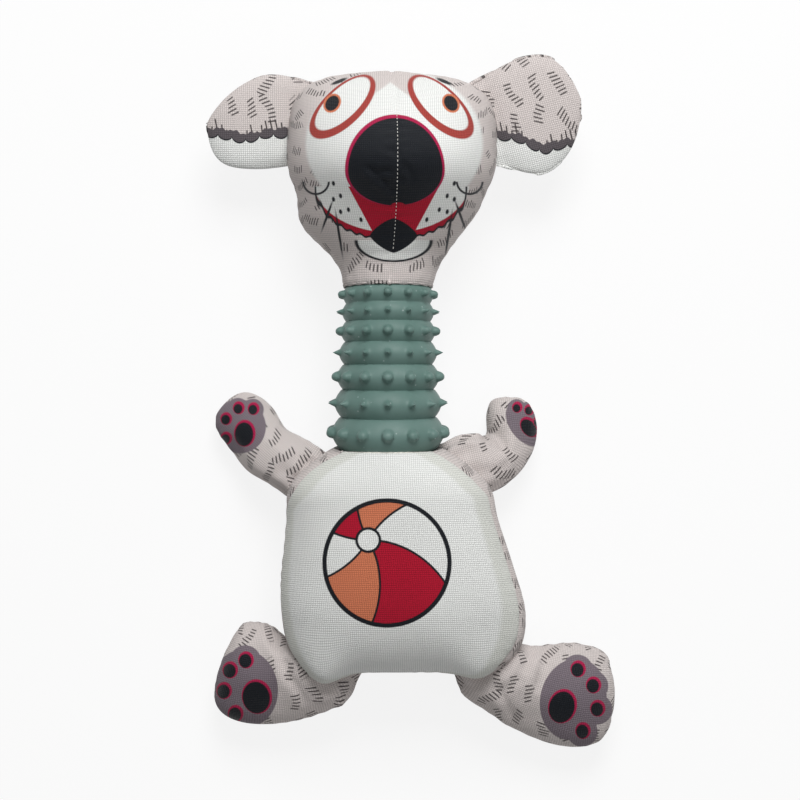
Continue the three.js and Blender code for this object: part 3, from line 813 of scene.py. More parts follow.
@dataclass(frozen=True)
class TorsoForm(Form):
    """The pear-shaped torso, from the neck's collar down to the crotch."""

    length: float = 108.0
    drift: float = 8.6
    shoulder_half: float = 50.0
    hip_half: float = 59.0
    belly_depth: float = 33.0
    back_depth: float = 33.5
    collar_radius: float = 26.2
    shoulder_run: float = 25.0
    shoulder_strip: float = 15.0
    right_strip: float = 12.0
    left_strip: float = 3.0
    shoulder_strip_from: float = 20.0
    right_strip_from: float = -62.0
    strip_run: float = 16.0
    hip_start: float = 0.2
    hip_run: float = 0.55
    squareness: float = 0.3
    side_end: tuple[float, float] = (14.0, 3.0)
    belly_end: tuple[float, float] = (6.0, 2.0)
    back_end: tuple[float, float] = (8.0, 2.0)

    def sections(self, share: np.ndarray) -> Sections:
        """Cross-sections at shares of the torso's length."""
        count = len(share)
        collar = self.collar_radius
        side = mix(self.shoulder_half, self.hip_half, smooth((share - self.hip_start) / self.hip_run))
        shoulder = rise(share * self.length / self.shoulder_run)
        across = mix(NECK_ACROSS, NECK_ACROSS + self.drift, smooth(share))
        level = np.full(count, SEAM_HEIGHT)
        return Sections(
            centre=np.stack([across, TORSO_TOP - share * self.length, level], axis=1),
            across=facing(count, (1.0, 0.0, 0.0)),
            out=facing(count, (0.0, 0.0, 1.0)),
            half=mix(collar, side, shoulder) * round_end(share, *self.side_end),
            front=mix(collar, self.belly_depth, shoulder) * round_end(share, *self.belly_end),
            back=mix(collar, self.back_depth, shoulder) * round_end(share, *self.back_end),
            power=2.0 + self.squareness * shoulder,
        )

    def seam_shift(self, points: np.ndarray) -> np.ndarray:
        """How far the back panel comes round to the belly, at the shoulders and along the right side."""
        across, up = points[..., 0], points[..., 1]
        shoulder = self.shoulder_strip * smooth((up - self.shoulder_strip_from) / self.strip_run)
        right = self.right_strip * smooth((up - self.right_strip_from) / self.strip_run)
        return np.maximum(shoulder, np.where(across > 0.0, right, self.left_strip))


@dataclass(frozen=True)
class HeadForm(Form):
    """The head, from the neck's collar up to the crown, with the muzzle towards the face."""

    length: float = 103.4
    half_width: float = 50.6
    drift: float = 1.6
    sway: float = 0.8
    muzzle_depth: float = 52.0
    muzzle_run: float = 32.0
    nose_height: float = 60.0
    back_depth: float = 33.5
    collar_radius: float = 22.0
    cheek_run: float = 54.0
    chin_run: float = 44.0
    hem_turn: float = 1.2
    hem_run: float = 4.0
    seam_sway: float = 3.0
    seam_rise: float = 0.6
    cheek_bulge: float = 4.6
    cheek_height: float = 28.0
    cheek_spread: float = 10.5
    waist: float = 2.8
    waist_height: float = 46.0
    waist_spread: float = 9.0
    crown_end: tuple[float, float] = (13.0, 2.3)
    back_end: tuple[float, float] = (8.0, 2.0)

    def middle(self, share: np.ndarray) -> np.ndarray:
        """Place across of the head's middle at shares of its length."""
        return NECK_ACROSS + self.drift * smooth(share) + self.sway * np.sin(math.pi * share)

    def seam_across(self, height: np.ndarray) -> np.ndarray:
        """Place across of the seam down the middle of the face, at heights."""
        share = np.clip((height - HEAD_BASE) / self.length, 0.0, 1.0)
        return self.middle(share) + self.seam_sway * np.sin(math.pi * share) ** self.seam_rise

    def sections(self, share: np.ndarray) -> Sections:
        """Cross-sections at shares of the head's length."""
        count = len(share)
        up = share * self.length
        cheek = smooth(up / self.cheek_run)
        run = np.where(up < self.nose_height, self.chin_run, self.muzzle_run)
        forward = smooth(up / self.nose_height) * bell(up - self.nose_height, run)
        collar = self.collar_radius - self.hem_turn * np.clip(1.0 - up / self.hem_run, 0.0, 1.0) ** 2
        left = 0.5 * self.cheek_bulge * bell(up - self.cheek_height, self.cheek_spread)
        waist = self.waist * bell(up - self.waist_height, self.waist_spread)
        level = np.full(count, SEAM_HEIGHT)
        return Sections(
            centre=np.stack([self.middle(share) - left, HEAD_BASE + up, level], axis=1),
            across=facing(count, (1.0, 0.0, 0.0)),
            out=facing(count, (0.0, 0.0, 1.0)),
            half=mix(collar, self.half_width, cheek) * round_end(share, *self.crown_end) + left - waist,
            front=mix(collar, self.muzzle_depth, forward) * round_end(share, *self.crown_end),
            back=mix(collar, self.back_depth, cheek) * round_end(share, *self.back_end),
            power=np.full(count, 2.0),
        )


@dataclass(frozen=True)
class Edge:
    """One long edge of a flap: its distance from the spine at the root and at its widest.

    The next two numbers say how it closes at the end. A bump on it stands out by its height, at its
    place along the flap.
    """

    root: float
    tip: float
    sharpness: float
    end_root: float
    bump: float = 0.0
    bump_place: float = 0.5
    bump_width: float = 0.16

    def half(self, share: np.ndarray, widest: float) -> np.ndarray:
        """Distance from the spine at shares of the flap's length."""
        bump = self.bump * bell(share - self.bump_place, self.bump_width)
        side = mix(self.root, self.tip, smooth(share / widest)) + bump
        return side * round_end(share, self.sharpness, self.end_root)


@dataclass(frozen=True)
class FlapForm(Form):
    """An arm, leg or ear: a flat stuffed piece along a spine that bends in the plan.

    The root is drawn straight back inside its carrier by the hidden length.
    """

    seat: Place
    aim: float
    bend: float
    reach: float
    first_edge: Edge
    second_edge: Edge
    tuck: float
    hidden: float
    swell: float
    root_run: float
    tip_level: float
    root_taper: float
    widest: float = 0.7
    thick_end: float = 7.0
    root_fullness: float = 0.6
    slope: float = 0.7
    bend_stretch: tuple[float, float] = (0.0, 1.0)
    spine_steps: int = 240

    @property
    def shown(self) -> float:
        """Length that bends, from the tucked root to the tip."""
        return self.reach + self.tuck

    def shown_share(self, share: np.ndarray) -> np.ndarray:
        """Share of the bending length at shares of the whole length."""
        return np.clip((share * (self.shown + self.hidden) - self.hidden) / self.shown, 0.0, 1.0)

    def turn(self, out: np.ndarray) -> np.ndarray:
        """Heading of the spine in radians at shares of the bending length."""
        first, last = self.bend_stretch
        return np.radians(self.aim + self.bend * np.clip((out - first) / (last - first), 0.0, 1.0))

    def spine(self) -> tuple[np.ndarray, np.ndarray]:
        """Points along the middle of the flap, and the direction across it at each."""
        step = (self.shown + self.hidden) / self.spine_steps
        middles = (np.arange(self.spine_steps) + 0.5) / self.spine_steps
        turn = self.turn(self.shown_share(middles))
        moves = np.stack([np.cos(turn), np.sin(turn)], axis=1) * step
        plan = np.concatenate([[[0.0, 0.0]], np.cumsum(moves, axis=0)])
        root = np.array(self.seat) - heading(self.aim) * (self.tuck + self.hidden)
        ends = self.shown_share(np.linspace(0.0, 1.0, self.spine_steps + 1))
        level = mix(self.seat[2], self.tip_level, smooth(ends / self.slope))
        points = np.column_stack([plan + root[:2], level])
        angle = self.turn(ends)
        across = np.column_stack([-np.sin(angle), np.cos(angle), np.zeros_like(angle)])
        return points, across

    def sections(self, share: np.ndarray) -> Sections:
        """Cross-sections at shares of the flap's length."""
        points, across = self.spine()
        ends = np.linspace(0.0, 1.0, self.spine_steps + 1)
        side = between(share, ends, across)
        out = self.shown_share(share)
        inside = share * (self.shown + self.hidden) / max(self.hidden + self.tuck, 1.0)
        taper = mix(self.root_taper, 1.0, smooth(inside))
        full = mix(self.root_fullness, 1.0, rise((out * self.shown - self.tuck) / self.root_run))
        depth = (self.swell * full + 1.0) * round_end(out, self.thick_end, 2.0)
        return Sections(
            centre=between(share, ends, points),
            across=side / np.linalg.norm(side, axis=1)[:, None],
            out=facing(len(share), (0.0, 0.0, 1.0)),
            half=self.first_edge.half(out, self.widest) * taper,
            other_half=self.second_edge.half(out, self.widest) * taper,
            front=depth,
            back=depth,
            power=np.full(len(share), 2.0),
        )


class Grid:
    """A closed-round grid of points: rows from the open end to the pole, columns round the form."""

    def __init__(self, points: np.ndarray) -> None:
        """Keeps the points, in millimetres."""
        self.points = points

    @property
    def steps(self) -> int:
        """Number of columns."""
        return self.points.shape[1]

    def finer(self) -> "Grid":
        """Grid with twice the rows and columns, on a smooth curve through the old points."""
        old = self.points
        ahead, behind = np.roll(old, -1, axis=1), np.roll(old, 1, axis=1)
        middle = (9.0 * (old + ahead) - behind - np.roll(old, -2, axis=1)) / 16.0
        wide = np.stack([old, middle], axis=2).reshape(len(old), -1, 3)
        over = self.extended(wide)
        between = (9.0 * (over[1:-2] + over[2:-1]) - over[:-3] - over[3:]) / 16.0
        tall = np.empty((2 * len(wide) - 1, wide.shape[1], 3))
        tall[0::2] = wide
        tall[1::2] = between
        return Grid(tall)

    @staticmethod
    def extended(points: np.ndarray) -> np.ndarray:
        """Points with a row before the open end, and one beyond the pole from its other side."""
        beyond = np.roll(points[-2:-1], points.shape[1] // 2, axis=1)
        return np.concatenate([2.0 * points[:1] - points[1:2], points, beyond])

    def normals(self) -> np.ndarray:
        """Outward unit normals at the points."""
        around = np.roll(self.points, -1, axis=1) - np.roll(self.points, 1, axis=1)
        over = self.extended(self.points)
        along = over[2:] - over[:-2]
        normal = np.cross(around, along)
        middle = self.points.mean(axis=1, keepdims=True)
        row = len(self.points) // 2
        if np.sum(normal[row] * (self.points[row] - middle[row])) < 0.0:
            normal = -normal
        size = np.linalg.norm(normal, axis=2, keepdims=True)
        normal = normal / np.maximum(size, 1e-9)
        tip = normal[-2].mean(axis=0)
        normal[-1] = tip / max(np.linalg.norm(tip), 1e-9)
        return normal

    def girth(self) -> np.ndarray:
        """Distance round each row from the first column, with the closing step at the end."""
        closed = np.concatenate([self.points, self.points[:, :1]], axis=1)
        step = np.linalg.norm(np.diff(closed, axis=1), axis=2)
        return np.concatenate([np.zeros((len(step), 1)), np.cumsum(step, axis=1)], axis=1)

    def run(self, column: int) -> np.ndarray:
        """Distance along a column from the first row."""
        return distances(self.points[:, column])

    def seam_distance(self) -> np.ndarray:
        """Distance of each point from the nearer side seam, along its row."""
        girth = self.girth()
        half = self.steps // 2
        to_first = np.minimum(girth[:, :-1], girth[:, -1:] - girth[:, :-1])
        to_second = np.abs(girth[:, :-1] - girth[:, half : half + 1])
        return np.minimum(to_first, to_second)

    def panel_side(self, shift: np.ndarray) -> np.ndarray:
        """Distance of each point from the sewn edge of the front panel, negative behind it.

        Args:
            shift: How far that edge lies in front of the form's side at each point.

        Returns:
            The distances.
        """
        near = self.seam_distance()
        front = np.arange(self.steps) <= self.steps // 2
        return np.where(front[None, :], near, -near) - shift

    def corners(self) -> tuple[list[list[int]], np.ndarray, np.ndarray]:
        """Faces of the grid.

        Returns:
            The faces as point numbers, and the row and the unwrapped column of each corner.
        """
        rows, steps = self.points.shape[:2]
        faces: list[list[int]] = []
        places: list[tuple[int, int]] = []
        pole = (rows - 1) * steps
        for row in range(rows - 1):
            for column in range(steps):
                after = column + 1
                ring = [(row, column), (row, after), (row + 1, after), (row + 1, column)]
                if row == rows - 2:
                    ring = [(row, column), (row, after), (row + 1, column)]
                faces.append([min(r * steps + c % steps, pole) for r, c in ring])
                places.extend(ring)
        table = np.array(places)
        return faces, table[:, 0], table[:, 1]

    def mesh(self, name: str, flipped: bool, side: np.ndarray) -> bpy.types.Mesh:
        """Makes the mesh with its maps: Cloth for the weave, Plan for prints, Panel for the seams.

        Args:
            name: Name of the mesh.
            flipped: True where the faces have to be turned to point outwards.
            side: Distance of each point from the sewn edge of the front panel.

        Returns:
            The mesh, in metres.
        """
        faces, rows, columns = self.corners()
        steps = self.steps
        points = np.concatenate([self.points[:-1].reshape(-1, 3), self.points[-1, :1]])
        girth = self.girth()
        sizes = np.array([len(face) for face in faces])
        first_column = np.repeat([columns[start] for start in np.cumsum(sizes) - sizes], sizes)
        front = first_column < steps // 2
        middle = np.where(front, steps // 4, 3 * steps // 4)
        here = girth[rows, columns]
        run = np.where(front, self.run(steps // 4)[rows], self.run(3 * steps // 4)[rows])
        plan = self.points[rows, columns % steps]
        maps = {
            "Cloth": np.stack([here - girth[rows, middle], run], axis=1),
            "Plan": Studio.seen(plan),
            "Panel": np.stack([side[rows, columns % steps], run], axis=1),
        }
        mesh = bpy.data.meshes.new(name)
        mesh.from_pydata((points * MM).tolist(), [], faces)
        for map_name, values in maps.items():
            layer = mesh.uv_layers.new(name=map_name)
            layer.uv.foreach_set("vector", values.astype(np.float32).ravel())
        mesh.polygons.foreach_set("use_smooth", [True] * len(faces))
        if flipped:
            mesh.flip_normals()
        mesh.update()
        return mesh


class Maker:
    """Small operations on objects."""

    weld = 0.000005

    @staticmethod
    def clear_selection() -> None:
        """Leaves nothing selected."""
        bpy.ops.object.select_all(action="DESELECT")

    @classmethod
    def pick(cls, piece: bpy.types.Object) -> None:
        """Makes one object the only selected and active one."""
        cls.clear_selection()
        piece.select_set(True)
        bpy.context.view_layer.objects.active = piece

    @classmethod
    def add(cls, mesh: bpy.types.Mesh, name: str) -> bpy.types.Object:
        """Puts a mesh into the scene as an object."""
        piece = bpy.data.objects.new(name, mesh)
        bpy.context.scene.collection.objects.link(piece)
        cls.pick(piece)
        return piece

    @classmethod
    def apply(cls, piece: bpy.types.Object, kind: str, settings: dict[str, Any]) -> None:
        """Adds a modifier to a piece and applies it."""
        cls.pick(piece)
        modifier = piece.modifiers.new(kind.lower(), kind)
        for name, value in settings.items():
            setattr(modifier, name, value)
        bpy.ops.object.modifier_apply(modifier=modifier.name)

    @staticmethod
    @contextmanager
    def editing() -> Iterator[None]:
        """Opens the whole active mesh for editing."""
        bpy.ops.object.mode_set(mode="EDIT")
        bpy.ops.mesh.select_all(action="SELECT")
        yield
        bpy.ops.object.mode_set(mode="OBJECT")

    @staticmethod
    def read(piece: bpy.types.Object, name: str = "co") -> np.ndarray:
        """Three values for each vertex of a piece: its place in metres, or its normal."""
        values = np.empty(len(piece.data.vertices) * 3, dtype=np.float32)
        piece.data.vertices.foreach_get(name, values)
        return values.reshape(-1, 3)

    @staticmethod
    def move(piece: bpy.types.Object, points: np.ndarray) -> None:
        """Moves the vertices of a piece to points in millimetres."""
        piece.data.vertices.foreach_set("co", (points * MM).astype(np.float32).ravel())
        piece.data.update()

    @classmethod
    def turned(
        cls,
        name: str,
        points: list[Place],
        edges: list[tuple[int, int]],
        steps: int,
        centre: Vector,
        axis: Place,
    ) -> bpy.types.Object:
        """Turns an outline once round an axis.

        Args:
            name: Name of the piece.
            points: Points of the outline, in metres.
            edges: Pairs of neighbours in it.
            steps: Number of columns.
            centre: A point of the axis, in metres.
            axis: Direction of the axis.

        Returns:
            The object.
        """
        mesh = bpy.data.meshes.new(name)
        mesh.from_pydata(points, edges, [])
        piece = cls.add(mesh, name)
        with cls.editing():
            bpy.ops.mesh.spin(steps=steps, angle=math.tau, center=centre, axis=axis)
            bpy.ops.mesh.select_all(action="SELECT")
            bpy.ops.mesh.remove_doubles(threshold=cls.weld)
            bpy.ops.mesh.normals_make_consistent(inside=False)
        return piece


@dataclass(frozen=True)
class Filling:
    """How far the filling blows a cover up, and how its seams draw in."""

    pressure: float = 4.0
    frames: int = 20
    slack: float = 0.03
    seam_shrink: float = 0.12
    seam_reach: float = 5.0
    least_pull: float = 0.05
    swell_cap: float = 3.0
    dent_cap: float = 0.3
    side_cap: float = 0.8
    calm: int = 2
    own_share: float = 0.4
    beside_share: float = 0.15
    held_run: float = 18.0
    scale: float = 4.0

    def simulated(self, grid: Grid, pinned_rows: int) -> np.ndarray:
        """Simulates the cover as cloth with pressure inside.

        Args:
            grid: The cover as it was sewn.
            pinned_rows: Rows at the open end that are held.

        Returns:
            The grid's points after the simulation.
        """
        flipped = CoverShape.is_flipped(grid)
        piece = Maker.add(grid.mesh("cover_trial", flipped, grid.seam_distance()), "cover_trial")
        piece.data.transform(Matrix.Scale(self.scale, 4))
        steps = grid.steps
        held = piece.vertex_groups.new(name="held")
        held.add(list(range(pinned_rows * steps)), 1.0, "REPLACE")
        sewn = piece.vertex_groups.new(name="sewn")
        pull = bell(grid.seam_distance(), self.seam_reach)
        for number, weight in enumerate(pull[:-1].ravel()):
            if weight > self.least_pull:
                sewn.add([number], float(weight), "REPLACE")
        cloth = piece.modifiers.new("cloth", "CLOTH")
        settings = {
            "quality": 6,
            "mass": 0.3,
            "tension_stiffness": 15.0,
            "compression_stiffness": 15.0,
            "shear_stiffness": 5.0,
            "bending_stiffness": 0.5,
            "use_pressure": True,
            "uniform_pressure_force": self.pressure,
            "vertex_group_mass": "held",
            "vertex_group_shrink": "sewn",
            "shrink_min": -self.slack,
            "shrink_max": self.seam_shrink,
        }
        for name, value in settings.items():
            setattr(cloth.settings, name, value)
        cloth.settings.effector_weights.gravity = 0.0
        cloth.collision_settings.use_collision = False
        cloth.point_cache.frame_start = 1
        cloth.point_cache.frame_end = self.frames
        scene = bpy.context.scene
        for frame in range(1, self.frames + 1):
            scene.frame_set(frame)
        Maker.pick(piece)
        bpy.ops.object.modifier_apply(modifier=cloth.name)
        moved = Maker.read(piece).astype(float) / (self.scale * MM)
        mesh = piece.data
        bpy.data.objects.remove(piece)
        bpy.data.meshes.remove(mesh)
        scene.frame_set(1)
        pole = np.repeat(moved[-1:].reshape(1, 1, 3), steps, axis=1)
        return np.concatenate([moved[:-1].reshape(-1, steps, 3), pole])

    def blow_up(self, grid: Grid, pinned_rows: int) -> Grid:
        """Blows a cover up.

        Args:
            grid: The cover as it was sewn.
            pinned_rows: Rows at the open end that are held.

        Returns:
            The cover after the simulation, no point further off than the caps.
        """
        change = self.simulated(grid, pinned_rows) - grid.points
        normal = grid.normals()
        outward = np.sum(change * normal, axis=2)
        sideways = change - outward[..., None] * normal
        size = np.linalg.norm(sideways, axis=2, keepdims=True)
        sideways *= np.minimum(1.0, self.side_cap / np.maximum(size, 1e-9))
        held_out = np.clip(outward, -self.dent_cap, self.swell_cap)
        for _ in range(self.calm):
            beside = np.roll(held_out, 1, axis=1) + np.roll(held_out, -1, axis=1)
            along = np.pad(held_out, ((1, 1), (0, 0)), mode="edge")
            around = beside + along[2:] + along[:-2]
            held_out = self.own_share * held_out + self.beside_share * around
        free = smooth(grid.run(grid.steps // 4) / self.held_run)[:, None, None]
        return Grid(grid.points + free * (sideways + held_out[..., None] * normal))


@dataclass(frozen=True)
class Crease:
    """A pinched fold of the cloth between two places, as they are seen from above."""

    start: tuple[float, float]
    end: tuple[float, float]
    depth: float
    width: float = 1.6
    ridge: float = 0.55
    ridge_far: float = 1.9
    ridge_width: float = 1.3
    ridge_fade: float = 3.5

    def height(self, seen: np.ndarray) -> np.ndarray:
        """Relief of the fold at places: a groove with a soft ridge beside it, in millimetres."""
        first, way = np.array(self.start), np.subtract(self.end, self.start)
        length = float(np.hypot(*way))
        share = np.clip((seen - first) @ way / length**2, 0.0, 1.0)
        off = seen - (first + share[..., None] * way)
        beside = (off[..., 0] * way[1] - off[..., 1] * way[0]) / length
        far = np.linalg.norm(off, axis=-1)
        ridge = self.ridge * bell(beside - self.ridge_far * self.width, self.ridge_width * self.width)
        ridge = ridge * bell(far, self.ridge_fade * self.width)
        return self.depth * (1.0 - (2.0 * share - 1.0) ** 4) * (ridge - bell(far, self.width))


@dataclass
class CoverShape:
    """A sewn cover: lofted, blown up by its filling, then detailed along its seams."""

    name: str
    form: Form
    rows: int
    steps: int
    seed: float
    filling: Filling = field(default_factory=Filling)
    hem_radius: float = 0.0
    hem_side: float = 0.0
    lump: float = 0.8
    lump_size: float = 26.0
    groove: float = 0.7
    groove_width: float = 1.3
    pucker: float = 0.35
    pucker_pitch: float = 7.0
    pucker_reach: float = 6.0
    wander: float = 5.0
    wander_size: float = 15.0
    patch_size: float = 21.0
    patch_share: float = 0.45
    patch_contrast: float = 1.3
    seam_flat: float = 1.2
    creases: Sequence[Crease] = ()
    root_fold: float = 0.0
    root_reach: float = 12.0
    root_folds: int = 9
    root_wander: float = 2.0
    pinned_rows: int = 2
    extra: Callable[[Grid], np.ndarray] | None = None
    warp: Callable[[np.ndarray], np.ndarray] | None = None
    collar_level: float | None = None
    collar_run: float = 25.0

    @staticmethod
    def is_flipped(grid: Grid) -> bool:
        """True where faces in the grid's own order would point inwards."""
        row = len(grid.points) // 2
        here, after = grid.points[row], grid.points[row + 1]
        normal = np.cross(np.roll(here, -1, axis=0) - here, after - here)
        return bool(np.sum(normal * (here - here.mean(axis=0))) < 0.0)

    def hemmed(self, points: np.ndarray) -> np.ndarray:
        """Puts the turned-in hem before the first row of a collar."""
        if self.hem_radius <= 0.0:
            return points
        centre = points[0].mean(axis=0)
        radius = np.linalg.norm(points[0] - centre, axis=1).mean()
        inward = np.array([0.0, self.hem_side, 0.0])
        share = self.hem_radius / radius
        rings = [(share, 4.0), (share, 1.4), (mix(share, 1.0, 0.5), 0.3), (0.985, 0.0)]
        rows = [centre + (points[0] - centre) * scale + inward * depth for scale, depth in rings]
        return np.concatenate([np.array(rows), points])

    def shaped(self) -> Grid:
        """Makes the grid of the finished cover.

        Returns:
            The grid, in millimetres.
        """
        points = self.hemmed(self.form.grid(self.rows, self.steps))
        if self.warp is not None:
            points = self.warp(points)
        if self.collar_level is not None:
            near = bell(points[..., 1] - self.collar_level, self.collar_run)
            points[..., 1] -= lean_at(self.collar_level) * (points[..., 2] - SEAM_HEIGHT) * near
        grid = Grid(points)
        swells = drift_noise(grid.points, self.lump_size, self.seed) * self.lump
        open_rows = len(grid.points) - self.rows + self.pinned_rows
        swells[:open_rows] = 0.0
        grid = Grid(grid.points + swells[..., None] * grid.normals())
        grid = self.filling.blow_up(grid, open_rows)
        grid = grid.finer()
        grid = Grid(grid.points + self.relief(grid)[..., None] * grid.normals())
        grid.points[..., 2] = np.maximum(grid.points[..., 2], 0.0)
        return grid

    def relief(self, grid: Grid) -> np.ndarray:
        """Height of the seams, puckers and folds over the smooth cover, in millimetres."""
        far = np.abs(grid.panel_side(self.form.seam_shift(grid.points)))
        along = np.tile(grid.run(0)[:, None], (1, grid.steps))
        wander = drift_noise(grid.points, self.wander_size, self.seed + 7.0)
        patches = drift_noise(grid.points, self.patch_size, self.seed + 3.0)
        wave = np.sin(along * (math.tau / self.pucker_pitch) + wander * self.wander)
        wave = wave * np.clip(self.patch_share + self.patch_contrast * patches, 0.0, 1.0)
        height = -self.groove * bell(far, self.groove_width)
        height = height + self.pucker * wave * beside_seam(far, self.pucker_reach, self.seam_flat)
        if self.creases:
            seen = Studio.seen(grid.points)
            folds = sum(crease.height(seen) for crease in self.creases)
            height = height + np.where(np.arange(grid.steps) <= grid.steps // 2, folds, 0.0)
        if self.root_fold:
            angle = np.arange(grid.steps) * (math.tau / grid.steps)
            wave = np.sin(angle[None, :] * self.root_folds + wander * self.root_wander)
            height = height + self.root_fold * bell(along, self.root_reach) * wave
        if self.extra is not None:
            height = height + self.extra(grid)
        return height

    def build(self, grid: Grid) -> bpy.types.Object:
        """Makes the cover as a shell of cloth.

        Args:
            grid: The finished surface.

        Returns:
            The object.
        """
        side = grid.panel_side(self.form.seam_shift(grid.points))
        piece = Maker.add(grid.mesh(self.name, self.is_flipped(grid), side), self.name)
        Maker.apply(piece, "SOLIDIFY", {"thickness": CLOTH * MM, "offset": -1.0})
        return piece


class Fibre:
    """Lumpy filling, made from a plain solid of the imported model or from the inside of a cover."""

    lump = 0.9
    lump_size = 9.0
    most_flat = 1.2
    tip_gap = 2.6
    ring_lump = 0.05
    weld = 0.00001

    def inside(
        self, name: str, grid: Grid, first: float, seed: float, fullness: float
    ) -> bpy.types.Object:
        """Makes a piece of filling that follows a finished cover from the inside.

        Args:
            name: Name of the piece.
            grid: The cover's surface.
            first: Distance from the cover's root to the filling's in millimetres.
            seed: Offset that gives each piece its own lumps.
            fullness: Size of the filling's rings as a share of the cover's.

        Returns:
            The object.
        """
        run = distances(grid.points.mean(axis=1))
        rings = grid.points[(run >= first) & (run <= run[-1] - self.tip_gap)][::2, ::2]
        centre = rings.mean(axis=1, keepdims=True)
        size = fullness - self.ring_lump * 0.5 * (1.0 + drift_noise(rings, self.lump_size, seed))
        tip = np.repeat(0.5 * (centre[-1:] + grid.points[-1:, :1]), rings.shape[1], axis=1)
        wad = Grid(np.concatenate([centre + (rings - centre) * size[..., None], tip]))
        piece = Maker.add(wad.mesh(name, CoverShape.is_flipped(wad), wad.seam_distance()), name)
        with Maker.editing():
            bpy.ops.mesh.fill_holes(sides=0)
        return piece

    def build(
        self, name: str, node: bpy.types.Object, voxel: float, seed: float, shrink: float
    ) -> bpy.types.Object:
        """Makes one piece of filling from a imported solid.

        Args:
            name: Name of the piece.
            node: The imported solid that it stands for.
            voxel: Size of its facets in millimetres.
            seed: Offset that gives each piece its own lumps.
            shrink: Least distance of the filling from the solid's sides in millimetres.

        Returns:
            The object.
        """
        piece = Maker.add(node.data.copy(), name)
        piece.data.materials.clear()
        with Maker.editing():
            bpy.ops.mesh.remove_doubles(threshold=self.weld)
        facets = {"mode": "VOXEL", "voxel_size": voxel * MM, "use_smooth_shade": True}
        Maker.apply(piece, "REMESH", facets)
        Maker.apply(piece, "SMOOTH", {"factor": 0.5, "iterations": 3})
        points = Maker.read(piece).astype(float) / MM
        lumps = self.lump * 0.5 * (1.0 + drift_noise(points, self.lump_size, seed))
        inset = np.array([shrink, shrink, min(shrink, self.most_flat)]) + lumps[:, None]
        Maker.move(piece, points - Maker.read(piece, "normal") * inset)
        return piece


@dataclass(frozen=True)
class Sole:
    """Print of a paw: its grey patch, its main pad, and the places and radius of its toe pads."""

    patch: Spot
    pad: Spot
    toes: tuple[tuple[float, float], ...]
    toe: float


@dataclass(frozen=True)
class Band:
    """Dark band across an ear: its height where X is 0, its rise across, and where it hangs lower."""

    level: float
    slope: float
    dip: Spot
    seed: float


